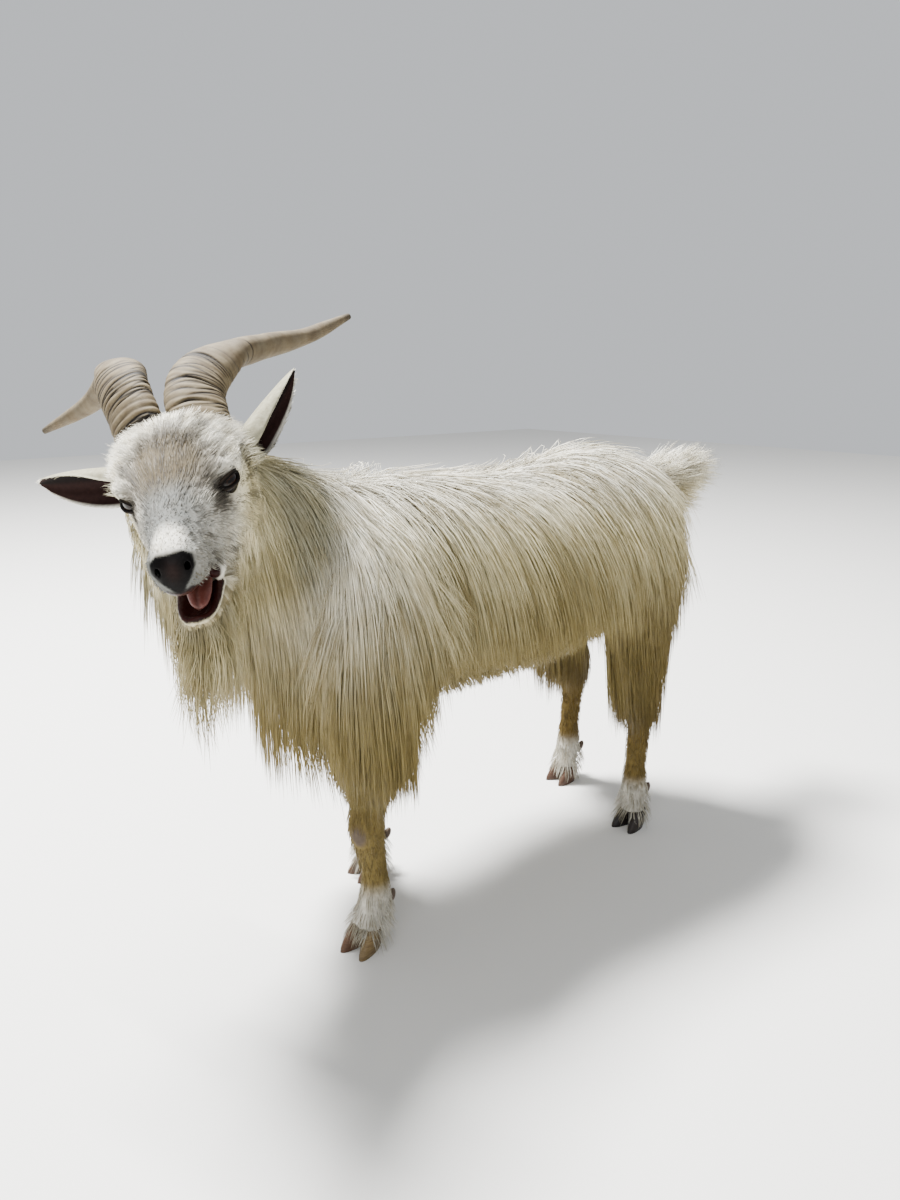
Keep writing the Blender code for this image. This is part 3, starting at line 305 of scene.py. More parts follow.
# The camera, in the goat's frame: where it stands, and how it looks down and to the side.
CAMERA_AT = (-0.7194, -0.8231, 0.645)
CAMERA_PITCH, CAMERA_YAW = math.radians(14.63), math.radians(39.5)
LENS, SENSOR = 27.0, 36.0

# The strokes of the face: where they start, how many waves make them, their pitch and how soon they break.
NOSE_TIP = np.array((0.135, 0.0, -0.020))
STROKE_WAVES, STROKE_PITCH, STROKE_BREAKS = 40, (35, 130), 60.0

# How far the skin lies inside the solids, and the fineness of its mesh.
BODY_INSET, LEG_INSET, HEAD_INSET = 0.004, 0.002, 0.001
BODY_VOXEL, HEAD_VOXEL = 0.0045, 0.0017


def tone(red, green, blue):
    """A colour written as it looks on a screen, 0 to 255, as the shader wants it."""
    value = np.array((red, green, blue)) / 255
    return np.where(value < 0.04045, value / 12.92, ((value + 0.055) / 1.055) ** 2.4)


WHITE = tone(248, 245, 232)
IVORY = tone(238, 228, 186)
BEIGE = tone(116, 102, 56)
# GOLD and RUSSET are set darker than the hair's own colour, partly as painted shade.
GOLD = tone(120, 102, 40)
RUSSET = tone(86, 67, 29)
TAUPE = tone(84, 73, 51)
BLUISH = tone(84, 87, 86)
STROKE = tone(54, 47, 37)
SOCKET_SHADE = tone(46, 39, 32)
EAR_FUR = tone(150, 147, 126)
PAD_BLACK = tone(5, 4, 4)
PAD_PINK = tone(50, 35, 32)
LIP = tone(26, 18, 17)
MOUTH_IN_SHADE = tone(46, 19, 16)
EAR_CUP_SHADE = tone(16, 10, 9)
EAR_PINK = tone(50, 29, 26)
LID_DARK, LID_PALE = tone(18, 14, 12), tone(58, 50, 41)
CALLUS = tone(86, 76, 66)
TONGUE_PINK = tone(98, 56, 48)
EYE_DARK, EYE_AMBER = tone(14, 9, 7), tone(46, 28, 14)
HORN_PALE, HORN_GREY, HORN_DARK = tone(120, 108, 84), tone(90, 82, 68), tone(16, 12, 9)

# Painted shade under and before each eye: colour, place beside the midline, reach each way and strength.
PAINTED_EYE_SHADE = (
    (TAUPE, (0.030, 0.033, -0.010), (0.022, 0.018, 0.018), 0.70),
    (SOCKET_SHADE, (0.022, 0.036, -0.002), (0.015, 0.014, 0.014), 0.95),
)
# Patches of the coat, some of them painted light and shade: colour, place, reach and strength.
PATCHES_AND_PAINTED_LIGHT = (
    # Painted light: the left side of the neck lightened where the head and horns cast shade.
    (WHITE, (-0.270, -0.100, 0.460), 0.090, 0.90),
    (GOLD, (-0.330, -0.050, 0.540), 0.030, 0.30),
    (GOLD, (0.375, -0.025, 0.462), 0.030, 0.40),
    # Painted shade, partly the coat's own gold: the low left flank darkened.
    (GOLD, (0.030, -0.140, 0.370), 0.090, 0.50),
)


def unit(vectors):
    """Vectors of length one."""
    return vectors / np.maximum(np.linalg.norm(vectors, axis=-1, keepdims=True), 1e-9)


def smooth_step(low, high, value):
    """0 below low, 1 above high, and smooth between them. low may be the larger."""
    share = np.clip((value - low) / (high - low), 0, 1)
    return share * share * (3 - 2 * share)


def mixed(first, second, share):
    """A blend of two colours or arrays of colours."""
    share = np.asarray(share)[..., None]
    return first * (1 - share) + second * share


def moved(points, matrix):
    """Points carried by a matrix."""
    turn = np.array(matrix)
    return points @ turn[:3, :3].T + turn[:3, 3]


def resample(rows, count):
    """A smooth Catmull-Rom curve through the rows, read at count even steps along it."""
    rows = np.array(rows, float)
    padded = np.vstack([2 * rows[0] - rows[1], rows, 2 * rows[-1] - rows[-2]])
    steps = np.linalg.norm(np.diff(rows[:, :3], axis=0), axis=1)
    along = np.concatenate([[0], np.cumsum(steps)])
    out = []
    for place in np.linspace(0, along[-1], count):
        i = min(int(np.searchsorted(along, place, side="right")) - 1, len(rows) - 2)
        t = (place - along[i]) / steps[i]
        a, b, c, d = padded[i : i + 4]
        square, cube = 2 * a - 5 * b + 4 * c - d, 3 * b - a - 3 * c + d
        out.append(0.5 * (2 * b + (c - a) * t + square * t**2 + cube * t**3))
    return np.array(out)


def ring(centre, right, up, half_width, rise, drop, sides):
    """Points round one station: an ellipse whose upper and lower halves may differ in height."""
    angles = 2 * math.pi * (np.arange(sides) + 0.5) / sides
    across, along = np.cos(angles), np.sin(angles)
    height = np.where(along > 0, rise, drop) * along
    return centre + np.outer(half_width * across, right) + np.outer(height, up)


def station_rings(stations, count, sides):
    """Upright rings through stations of x, top, widest, bottom and half-width."""
    rows = [(x, 0, widest, top - widest, widest - bottom, wide) for x, top, widest, bottom, wide in stations]
    right, up = np.array((0, 1, 0)), np.array((0, 0, 1))
    return np.array([ring(row[:3], right, up, row[5], row[3], row[4], sides) for row in resample(rows, count)])


def limb_rings(points, side, count, sides):
    """Rings square to a limb's own line. side mirrors the limb to the goat's left or right."""
    rows = resample([(x, side * y, z, wide, deep) for x, y, z, wide, deep in points], count)
    rings = []
    for row, way in zip(rows, unit(np.gradient(rows[:, :3], axis=0))):
        front = unit(np.cross((0, 1, 0), way))
        rings.append(ring(row[:3], np.cross(way, front), front, row[3], row[4], row[4], sides))
    return np.array(rings)


def shifted(points, start, end):
    """Limb points moved by start at the first and by end at the last, as x and distance from the midline."""
    last = len(points) - 1
    rows = []
    for i, (x, y, z, wide, deep) in enumerate(points):
        dx, dy = (a + (b - a) * i / last for a, b in zip(start, end))
        rows.append((x + dx, y + dy, z, wide, deep))
    return rows


class Surface:
    """Points and triangles of one form, with each triangle corner's place on the form's own unwrap."""

    def __init__(self, points, triangles, places):
        self.points, self.triangles, self.places = points, triangles, places

    def normals(self):
        """The outward way at each point."""
        corners = self.points[self.triangles]
        flat = np.cross(corners[:, 1] - corners[:, 0], corners[:, 2] - corners[:, 0])
        normals = np.zeros_like(self.points)
        for k in range(3):
            np.add.at(normals, self.triangles[:, k], flat)
        return unit(normals)

    def moved(self, matrix):
        """The form carried by a matrix."""
        return Surface(moved(self.points, matrix), self.triangles, self.places)

    def grown(self, amount):
        """The form swollen evenly, or shrunk where the amount is negative."""
        return Surface(self.points + self.normals() * amount, self.triangles, self.places)


def tube(rings, bulges):
    """A closed tube through the rings, with a rounded cap on each end, turned outwards."""
    count, sides = rings.shape[:2]
    ends = (rings[0].mean(0), rings[-1].mean(0))
    ways = unit(np.array((ends[0] - rings[1].mean(0), ends[1] - rings[-2].mean(0))))
    tips = [end + way * bulge for end, way, bulge in zip(ends, ways, bulges)]
    points = np.vstack([rings.reshape(-1, 3), tips])
    i, j = (index.ravel() for index in np.meshgrid(np.arange(count - 1), np.arange(sides), indexing="ij"))
    k = (j + 1) % sides
    a, b, c, d = i * sides + j, i * sides + k, (i + 1) * sides + k, (i + 1) * sides + j

    def place(row, column):
        """Where a ring and a side lie on the unwrap."""
        return np.stack([row / (count - 1), column / sides], -1)

    pa, pb, pc, pd = place(i, j), place(i, j + 1), place(i + 1, j + 1), place(i + 1, j)
    around = np.arange(sides)
    after = (around + 1) % sides
    first, last = count * sides, count * sides + 1
    end = (count - 1) * sides
    triangles = np.vstack([
        np.stack([a, b, c], -1),
        np.stack([a, c, d], -1),
        np.stack([after, around, np.full(sides, first)], -1),
        np.stack([end + around, end + after, np.full(sides, last)], -1),
    ])
    low, high = place(np.zeros(sides), around), place(np.full(sides, count - 1.0), around)
    places = np.vstack([
        np.stack([pa, pb, pc], 1),
        np.stack([pa, pc, pd], 1),
        np.stack([low, low, low], 1),
        np.stack([high, high, high], 1),
    ])
    made = Surface(points, triangles, places)
    if ((points - points.mean(0)) * made.normals()).sum() < 0:
        made.triangles, made.places = triangles[:, ::-1], places[:, ::-1]
    return made


def swollen(surface, forms):
    """The surface moved along its normals by smooth bumps, the same on both sides of the midline."""
    height = np.zeros(len(surface.points))
    for x, y, z, radius, amount in forms:
        for side in (LEFT, RIGHT):
            reach = np.linalg.norm(surface.points - (x, side * y, z), axis=1) / radius
            height += amount * np.exp(-(reach**2))
    return Surface(surface.points + surface.normals() * height[:, None], surface.triangles, surface.places)


def bent(points):
    """Points of the muzzle drawn to the goat's left, more towards the lips."""
    share = np.clip((points[:, 0] - BEND_FROM) / (BEND_TO - BEND_FROM), 0, 1)
    return points + np.outer(share, (0, MUZZLE_BEND, 0))


def troughed(jaw):
    """The lower jaw with its upper side sunk between the lips."""
    x, y, z = jaw.points.T
    wide = np.interp(x, [row[0] for row in MANDIBLE], [row[4] for row in MANDIBLE])
    upper = smooth_step(-0.061, -0.055, z) * smooth_step(0.094, 0.082, x)
    sunk = JAW_SUNK * np.exp(-((y / (0.66 * wide)) ** 4)) * upper
    return Surface(jaw.points - np.outer(sunk, (0, 0, 1)), jaw.triangles, jaw.places)


def flesh_forms():
    """Every form of the bare body by name."""
    forms = {
        "torso": tube(station_rings(TORSO, 40, 40), (0.012, 0.016)).grown(-BODY_INSET),
        "neck": tube(limb_rings(NECK, 1, 20, 32), (0.010, 0.004)).grown(-BODY_INSET),
        "tail": tube(limb_rings(TAIL, 1, 12, 16), (0.004, 0.006)).grown(-LEG_INSET),
    }
    skull = swollen(tube(station_rings(SKULL, 90, 80), (0.010, 0.0025)), SKULL_FORMS + BROW_FORMS)
    skull.points = bent(skull.points)
    forms["skull"] = skull.grown(-HEAD_INSET).moved(HEAD)
    forms["jaw"] = troughed(tube(station_rings(MANDIBLE, 50, 48), (0.004, 0.0025))).moved(HEAD @ JAW)
    for part, upper, lower in (("foreleg", SHOULDER, FORE_SHANK), ("hindleg", THIGH, HIND_SHANK)):
        for side, word in SIDE_WORDS.items():
            joint, toe = STANCE[part, side]
            thick = tube(limb_rings(shifted(upper, (0, 0), joint), side, 24, 24), (0.012, 0.004))
            thin = tube(limb_rings(shifted(lower, joint, toe), side, 30, 24), (0.004, 0.003))
            forms[f"{part}_upper_{word}"] = thick.grown(-LEG_INSET)
            forms[f"{part}_lower_{word}"] = thin.grown(-HEAD_INSET)
    return forms


def plain_mesh(name, points, faces):
    """A mesh of these points and faces, smooth shaded."""
    mesh = bpy.data.meshes.new(name)
    mesh.from_pydata(np.asarray(points).tolist(), [], np.asarray(faces).tolist())
    mesh.polygons.foreach_set("use_smooth", np.ones(len(mesh.polygons), bool))
    return mesh


def read_mesh(mesh):
    """Points and triangles of a mesh."""
    mesh.calc_loop_triangles()
    points = np.empty(len(mesh.vertices) * 3)
    mesh.vertices.foreach_get("co", points)
    triangles = np.empty(len(mesh.loop_triangles) * 3, np.int32)
    mesh.loop_triangles.foreach_get("vertices", triangles)
    return points.reshape(-1, 3), triangles.reshape(-1, 3)


def remeshed(surfaces, voxel, rounds):
    """The union of closed surfaces as one even mesh, smoothed in some rounds."""
    offsets = np.cumsum([0] + [len(one.points) for one in surfaces])
    points = np.vstack([one.points for one in surfaces])
    triangles = np.vstack([one.triangles + offset for one, offset in zip(surfaces, offsets)])
    thing = bpy.data.objects.new("rough", plain_mesh("rough", points, triangles))
    bpy.context.scene.collection.objects.link(thing)
    step = thing.modifiers.new("remesh", "REMESH")
    step.mode, step.voxel_size = "VOXEL", voxel
    smooth = thing.modifiers.new("smooth", "SMOOTH")
    smooth.factor, smooth.iterations = 0.5, rounds
    graph = bpy.context.evaluated_depsgraph_get()
    made = thing.evaluated_get(graph).to_mesh()
    points, triangles = read_mesh(made)
    thing.evaluated_get(graph).to_mesh_clear()
    bpy.data.objects.remove(thing)
    return Surface(points, triangles, None)


def blob(size, place, turn, around=20, rings=12):
    """An ellipsoid with these half-sizes, its poles on its own z axis."""
    latitudes = np.linspace(-math.pi / 2, math.pi / 2, rings + 2)[1:-1]
    angles = 2 * math.pi * np.arange(around) / around
    rows = [
        np.stack([math.cos(a) * np.cos(angles), math.cos(a) * np.sin(angles), np.full(around, math.sin(a))], -1)
        for a in latitudes
    ]
    ball = tube(np.array(rows), (0.02, 0.02))
    ball.points[-2], ball.points[-1] = (0, 0, -1), (0, 0, 1)
    local = Matrix.Translation(place) @ turn @ Matrix.Diagonal((*size, 1))
    return ball.moved(local)


def eye_frame(side):
    """A frame on the eyeball: its x axis looks out of the head, y runs along the lids to the rear corner."""
    look = Vector((EYE_LOOK[0], -side * EYE_LOOK[1], EYE_LOOK[2])).normalized()
    back = Vector((-1, 0, 0))
    along = (back - look * back.dot(look)).normalized()
    up = look.cross(along) * -side
    turn = Matrix.Rotation(-side * LID_TILT, 3, look)
    axes = Matrix((look, turn @ along, turn @ up)).transposed().to_4x4()
    place = Vector((EYE_AT[0], -side * EYE_AT[1], EYE_AT[2])) - look * EYE_SUNK[side]
    return Matrix.Translation(place) @ axes


def head_points(points):
    """Points of the goat's frame in the head's frame."""
    return moved(points, HEAD.inverted())


def jaw_points(points):
    """Points of the goat's frame in the lower jaw's own closed place."""
    return moved(points, (HEAD @ JAW).inverted())


def coat_tone(points):
    """The coat's colour at each point: white above, ivory on the sides, golden towards the skirt and the legs;
    partly its own colours, partly painted light on top and painted shade lower down.
    """
    x, y, z = points.T
    # Whiter on top: partly the coat's own colour, partly painted light.
    colour = mixed(IVORY, WHITE, smooth_step(0.44, 0.52, z))
    # Darker and more golden lower down, russet low behind: partly the coat's own colour, partly painted shade.
    colour = mixed(colour, GOLD, 0.87 * smooth_step(0.50, 0.26, z))
    behind = smooth_step(0.12, 0.28, x) * smooth_step(0.46, 0.26, z)
    colour = mixed(colour, RUSSET, 0.60 * behind)
    for patch, place, reach, strength in PATCHES_AND_PAINTED_LIGHT:
        colour = mixed(colour, patch, strength * np.exp(-((np.linalg.norm(points - place, axis=1) / reach) ** 2)))
    # The shanks deepen towards russet: partly their own colour, partly painted shade.
    colour = mixed(colour, RUSSET, 0.5 * smooth_step(0.21, 0.16, z))
    # Painted shade: the white pasterns are painted a third darker.
    colour = mixed(colour, WHITE * 0.66, 0.9 * smooth_step(0.085, 0.055, z))
    head = head_points(points)
    near = smooth_step(0.19, 0.15, np.linalg.norm(head, axis=1))
    return mixed(colour, head_tone(head), near)


def streak_tone(points):
    """The colour of the darker strokes in the coat: beige on the body, grey brown on the head."""
    head = head_points(points)
    near = smooth_step(0.15, 0.11, np.linalg.norm(head, axis=1)) * smooth_step(-0.09, -0.06, head[:, 2])
    return mixed(BEIGE, STROKE, near)


def strokes(head):
    """Dark and light strokes, 0 to 1, that run back over the face from the nose."""
    draw = np.random.default_rng(SEED)
    away = head - NOSE_TIP
    far = np.linalg.norm(away, axis=1)
    waves = draw.normal(0, 1, (STROKE_WAVES, 3))
    waves *= (draw.uniform(*STROKE_PITCH, STROKE_WAVES) / np.linalg.norm(waves, axis=1))[:, None]
    turns = unit(away) @ waves.T + np.outer(far, draw.normal(0, STROKE_BREAKS, STROKE_WAVES))
    total = np.sin(turns + draw.uniform(0, 2 * math.pi, STROKE_WAVES)).sum(1) / math.sqrt(STROKE_WAVES / 2)
    return smooth_step(-1.3, 1.3, total)


def head_tone(head):
    """The coat's colour on the head: taupe forehead, pale bridge, white muzzle and cheeks, and painted shade round
    the eyes.
    """
    x, y, z = head.T
    forehead = smooth_step(1.40, 0.50, np.hypot((x - 0.016) / 0.036, y / 0.044))
    forehead *= smooth_step(-0.005, 0.015, z)
    blaze = smooth_step(0.092, 0.114, x) * smooth_step(-0.024, -0.010, z)
    blaze *= smooth_step(0.019, 0.006, np.abs(y - MUZZLE_BEND))
    bridge = smooth_step(0.015, 0.045, x) * smooth_step(0.045, 0.015, np.abs(y)) * smooth_step(-0.070, -0.050, z)
    cheek = smooth_step(0.03, -0.02, x) * smooth_step(0.03, -0.01, z)
    colour = mixed(mixed(WHITE, IVORY, cheek), BLUISH, 0.92 * bridge * (1 - 0.9 * blaze))
    under = smooth_step(-0.06, -0.11, z)
    colour = mixed(mixed(colour, IVORY, under), GOLD, 0.45 * under)
    colour = mixed(colour, TAUPE, 0.95 * forehead)
    colour = mixed(colour, EAR_FUR, 0.9 * smooth_step(0.056, 0.080, np.abs(y)))
    beside = np.abs(head)
    beside[:, (0, 2)] = head[:, (0, 2)]
    # Painted shade under and before the eyes.
    for patch, place, reach, strength in PAINTED_EYE_SHADE:
        colour = mixed(colour, patch, strength * np.exp(-(((beside - place) / reach) ** 2).sum(1)))
    return colour


def nose_pad(head):
    """1 on the bare nose pad and 0 off it."""
    x, y, z = head.T
    side = np.abs(y - MUZZLE_BEND)
    wide = np.interp(z, PAD_HEIGHTS, PAD_WIDTHS)
    edge = side - wide
    return smooth_step(0.108, 0.112, x) * smooth_step(0.0012, -0.0012, edge) * smooth_step(-0.0130, -0.0165, z)


def mouth_shares(points, normals):
    """How far each point of the skin belongs to the inside of the mouth, and to its dark lips with the inside."""
    head, jaw = head_points(points), jaw_points(points)
    up = (normals @ np.array(HEAD.to_3x3()))[:, 2]
    jaw_up = (normals @ np.array((HEAD @ JAW).to_3x3()))[:, 2]
    roof = (head[:, 2] < -0.040) & (jaw[:, 2] > -0.050) & (head[:, 0] > 0.052) & (head[:, 0] < 0.135)
    floor = (jaw[:, 2] < -0.045) & (jaw[:, 2] > -0.075) & (jaw[:, 0] > 0.046) & (jaw[:, 0] < 0.105) & ~roof
    low = head[:, 2] - np.interp(head[:, 0], [row[0] for row in SKULL], [row[3] for row in SKULL])
    roof &= low < 0.007
    near = np.abs(head[:, 1]) < 0.04
    inside = np.where(roof, smooth_step(-0.45, -0.75, up), 0) + np.where(floor, smooth_step(0.35, 0.65, jaw_up), 0)
    lips = np.where(roof, smooth_step(-0.15, -0.45, up), 0) + np.where(floor, smooth_step(0.00, 0.35, jaw_up), 0)
    return inside * near, lips * near


def skin_tone(points, normals):
    """Colour of the skin of the head and body, and how bare and wet it is."""
    head = head_points(points)
    # Under the coat the skin takes the coat's colours, a little darker as painted shade between the hairs.
    colour = coat_tone(points) * 0.92
    near = np.linalg.norm(head, axis=1) < 0.2
    pad = nose_pad(head) * near
    pink = np.exp(-(((head[:, 1] - MUZZLE_BEND) / 0.006) ** 2) - ((head[:, 2] + 0.028) / 0.008) ** 2)
    nostrils = [(0.120, MUZZLE_BEND - side * 0.0125, -0.027) for side in SIDE_WORDS]
    hollow = np.min([np.linalg.norm(head - nostril, axis=1) for nostril in nostrils], 0)
    # The nostrils' hollows are painted darker still, as painted shade.
    pad_tone = mixed(mixed(PAD_BLACK, PAD_PINK, 0.4 * pink), PAD_BLACK * 0.3, smooth_step(0.009, 0.006, hollow))
    colour = mixed(colour, pad_tone, pad)
    inside, lips = mouth_shares(points, normals)
    # The lips are dark; the inside of the mouth is painted dark red, its lining with painted shade.
    colour = mixed(mixed(colour, LIP, lips * near), MOUTH_IN_SHADE, inside * near)
    corner = mouth_corner(head) * near
    # Painted shade: the corners of the mouth are painted darker still.
    colour = mixed(colour, MOUTH_IN_SHADE * 0.6, corner)
    bare = np.max([pad, lips * near, corner], axis=0)
    return mixed(colour, CALLUS, callus(points)), bare


def mouth_corner(head):
    """1 on the front of the folds that close the corners of the mouth and 0 off them."""
    place = (head - (CHEEK_AT[0], 0, CHEEK_AT[2])) / CHEEK_SIZE
    place[:, 1] = (np.abs(head[:, 1]) - CHEEK_AT[1]) / CHEEK_SIZE[1]
    return smooth_step(1.25, 1.05, np.linalg.norm(place, axis=1)) * smooth_step(0.046, 0.052, head[:, 0])


def callus(points):
    """1 on the bare callus of the near knee and 0 off it."""
    return smooth_step(1.2, 0.7, np.linalg.norm((points - CALLUS_AT) / CALLUS_SIZE, axis=1))


Part = namedtuple("Part", "points faces colour wet")


def ear_grids(side):
    """The outer and inner faces of one ear's cup as grids of points, in the goat's frame."""
    root, tip, faces_to = (np.array(value) for value in EARS[side])
    axis = unit(tip - root)
    open_way = unit(faces_to - axis * faces_to.dot(axis))
    across = np.cross(axis, open_way)
    length = np.linalg.norm(tip - root)
    rows = resample([(share, radius, half, 0) for share, radius, half in EAR_FORM], EAR_ROWS)
    turn = np.linspace(-1, 1, EAR_RIBS)
    outer, inner = [], []
    for share, radius, half, _ in rows:
        centre = root + axis * length * share + open_way * (radius - 0.010)
        angle = math.radians(half) * turn
        ways = np.outer(np.sin(angle), across) - np.outer(np.cos(angle), open_way)
        fold = 0.0006 * np.sin(9 * angle) * math.sin(math.pi * share)
        thick = EAR_THICK * (1 - 0.5 * share) * (1 - 0.75 * np.abs(turn) ** 6)
        outer.append(centre + ways * (radius + fold)[:, None])
        inner.append(centre + ways * (radius + fold - thick)[:, None])
    return moved(np.vstack(outer), HEAD), moved(np.vstack(inner), HEAD)


def grid_faces(rows, columns):
    """The four-cornered faces of a grid of points."""
    base = (np.arange(rows - 1)[:, None] * columns + np.arange(columns - 1)).ravel()
    return np.stack([base, base + 1, base + columns + 1, base + columns], -1)


def ear_back(side):
    """The outer face of an ear as a form for fur to grow on."""
    outer, _ = ear_grids(side)
    faces = grid_faces(EAR_ROWS, EAR_RIBS)
    triangles = np.vstack([faces[:, [0, 1, 2]], faces[:, [0, 2, 3]]])
    across = np.tile(np.linspace(0, 1, EAR_RIBS), EAR_ROWS)
    along = np.repeat(np.linspace(0, 1, EAR_ROWS), EAR_RIBS)
    made = Surface(outer, triangles, np.stack([along, across], -1)[triangles])
    middle = outer.reshape(EAR_ROWS, EAR_RIBS, 3).mean(1).repeat(EAR_RIBS, 0)
    if ((outer - middle) * made.normals()).sum() < 0:
        made.triangles, made.places = triangles[:, ::-1], made.places[:, ::-1]
    return made


def ear_part(side):
    """One ear's cup: pale outside, a little pink inside under painted shade that is deepest at the cup's middle,
    with a thin white rim.
    """
    outer, inner = ear_grids(side)
    count = len(outer)
    turn = np.tile(np.linspace(-1, 1, EAR_RIBS), EAR_ROWS)
    # Painted shade over the whole inside, deepest towards the middle of the cup.
    depth = mixed(EAR_PINK, EAR_CUP_SHADE, 0.6 + 0.4 * smooth_step(0.45, 0.15, np.abs(turn - 0.2)))
    lining = mixed(depth, WHITE, smooth_step(0.90, 0.98, np.abs(turn)))
    faces = grid_faces(EAR_ROWS, EAR_RIBS)
    sides = [faces, faces[:, ::-1] + count]
    for column in (0, EAR_RIBS - 1):
        edge = np.arange(EAR_ROWS - 1) * EAR_RIBS + column
        sides.append(np.stack([edge, edge + EAR_RIBS, edge + EAR_RIBS + count, edge + count], -1))
    for row in (0, EAR_ROWS - 1):
        edge = row * EAR_RIBS + np.arange(EAR_RIBS - 1)
        sides.append(np.stack([edge, edge + 1, edge + 1 + count, edge + count], -1))
    colour = np.vstack([np.tile(EAR_FUR, (count, 1)), lining])
    return Part(np.vstack([outer, inner]), np.vstack(sides), colour, np.zeros(2 * count))


def lid_part(side):
    """The eyelids: a dark, moist rim round the opening, a crease, and the skin that closes over the eyeball."""
    around = 48
    angles = 2 * math.pi * np.arange(around) / around
    points, colours = [], []
    for times, height in LID_BAND:
        rise = LID_HIGH * (0.35 + 0.65 * times) * times**0.5
        y, z = LID_LONG * times * np.cos(angles), rise * np.sin(angles)
        heavy = 1 + 0.5 * np.sin(angles).clip(0, 1)
        x = np.sqrt(np.maximum(EYE_RADIUS**2 - y * y - z * z, 0.0))
        out = unit(np.stack([x, y, z], -1))
        points.append(out * (EYE_RADIUS + height * np.where(height > 0, heavy, 1.0))[:, None])
        colours.append(np.tile(mixed(LID_DARK, LID_PALE, smooth_step(1.25, 1.80, times)), (around, 1)))
    bands = np.arange(len(LID_BAND) - 1)
    i, j = (index.ravel() for index in np.meshgrid(bands, np.arange(around), indexing="ij"))
    k = (j + 1) % around
    faces = np.stack([i * around + j, i * around + k, (i + 1) * around + k, (i + 1) * around + j], -1)
    placed = moved(np.vstack(points), HEAD @ eye_frame(side))
    return Part(placed, faces, np.vstack(colours), np.full(len(placed), 0.5))


def joined(parts):
    """Several parts as one."""
    offset, faces = 0, []
    for part in parts:
        faces += (np.asarray(part.faces) + offset).tolist()
        offset += len(part.points)
    return Part(
        np.vstack([part.points for part in parts]),
        faces,
        np.vstack([part.colour for part in parts]),
        np.concatenate([part.wet for part in parts]),
    )


PLACE = Matrix.Translation(
    sum(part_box("eye_left"), Vector()) / 2 - HEAD @ Vector((EYE_AT[0], EYE_AT[1], EYE_AT[2]))
)


def piece(name, part, look, replaced=()):
    """A finished piece of the model: placed, coloured point by point, with its material, riding on the body."""
    mesh = bpy.data.meshes.new(name)
    mesh.from_pydata(moved(part.points, PLACE).tolist(), [], [list(face) for face in part.faces])
    mesh.polygons.foreach_set("use_smooth", np.ones(len(mesh.polygons), bool))
    colour = mesh.attributes.new("tint", "FLOAT_COLOR", "POINT")
    rgba = np.hstack([part.colour, np.ones((len(part.colour), 1))]).astype(np.float32)
    colour.data.foreach_set("color", rgba.ravel())
    wet = mesh.attributes.new("wet", "FLOAT", "POINT")
    wet.data.foreach_set("value", np.asarray(part.wet, np.float32))
    mesh.materials.append(look)
    made = bpy.data.objects.new(name, mesh)
    bpy.context.scene.collection.objects.link(made)
    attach(made, "root")
    if replaced:
        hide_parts(*replaced)
    return made


def material(name, roughness, tint="tint"):
    """A Principled material whose colour is the points' own, with the parts that the callers build on."""
    made = bpy.data.materials.new(name)
    made.use_nodes = True
    nodes, links = made.node_tree.nodes, made.node_tree.links
    shader = nodes["Principled BSDF"]
    shader.inputs["Roughness"].default_value = roughness
    colour = nodes.new("ShaderNodeAttribute")
    colour.attribute_name = tint
    return made, nodes, links, shader, colour


def mottled(nodes, links, colour, scale, dark, stretch=(1, 1, 1)):
    """The colour with a fine noise over it, darkened to the given share in the noise's troughs."""
    place = nodes.new("ShaderNodeTexCoord")
    mapping = nodes.new("ShaderNodeMapping")
    mapping.inputs["Scale"].default_value = stretch
    noise = nodes.new("ShaderNodeTexNoise")
    noise.inputs["Scale"].default_value = scale
    noise.inputs["Detail"].default_value = 6
    links.new(place.outputs["Object"], mapping.inputs["Vector"])
    links.new(mapping.outputs["Vector"], noise.inputs["Vector"])
    ramp = nodes.new("ShaderNodeValToRGB")
    ramp.color_ramp.elements[0].position, ramp.color_ramp.elements[1].position = 0.32, 0.68
    ramp.color_ramp.elements[0].color = (*dark, 1)
    ramp.color_ramp.elements[1].color = (1, 1, 1, 1)
    mix = nodes.new("ShaderNodeMix")
    mix.data_type, mix.blend_type = "RGBA", "MULTIPLY"
    mix.inputs["Factor"].default_value = 1.0
    links.new(noise.outputs["Fac"], ramp.inputs["Fac"])
    links.new(colour.outputs["Color"], mix.inputs["A"])
    links.new(ramp.outputs["Color"], mix.inputs["B"])
    return mix.outputs["Result"], noise


def bumped(nodes, links, shader, height, strength, depth):
    """A bump of this height socket on the shader."""
    bump = nodes.new("ShaderNodeBump")
    bump.inputs["Strength"].default_value = strength
    bump.inputs["Distance"].default_value = depth
    links.new(height, bump.inputs["Height"])
    links.new(bump.outputs["Normal"], shader.inputs["Normal"])


def grained(name, roughness, specular, scale, dark, stretch=(1, 1, 1), bump=None):
    """A material with a fine noise in its colour and, where bump gives strength and depth, in its surface."""
    made, nodes, links, shader, colour = material(name, roughness)
    shader.inputs["Specular IOR Level"].default_value = specular
    result, noise = mottled(nodes, links, colour, scale, dark, stretch)
    links.new(result, shader.inputs["Base Color"])
    if bump:
        bumped(nodes, links, shader, noise.outputs["Fac"], *bump)
    return made


def skin_material():
    """Matt skin, moist where it is bare."""
    made = grained("skin", 0.7, 0.07, 240, (0.72, 0.69, 0.66), bump=(0.5, 0.0008))
    nodes, links = made.node_tree.nodes, made.node_tree.links
    wet = nodes.new("ShaderNodeAttribute")
    wet.attribute_name = "wet"
    rough = nodes.new("ShaderNodeMapRange")
    rough.inputs["To Min"].default_value, rough.inputs["To Max"].default_value = 0.8, 0.38
    links.new(wet.outputs["Fac"], rough.inputs["Value"])
    links.new(rough.outputs["Result"], nodes["Principled BSDF"].inputs["Roughness"])
    return made


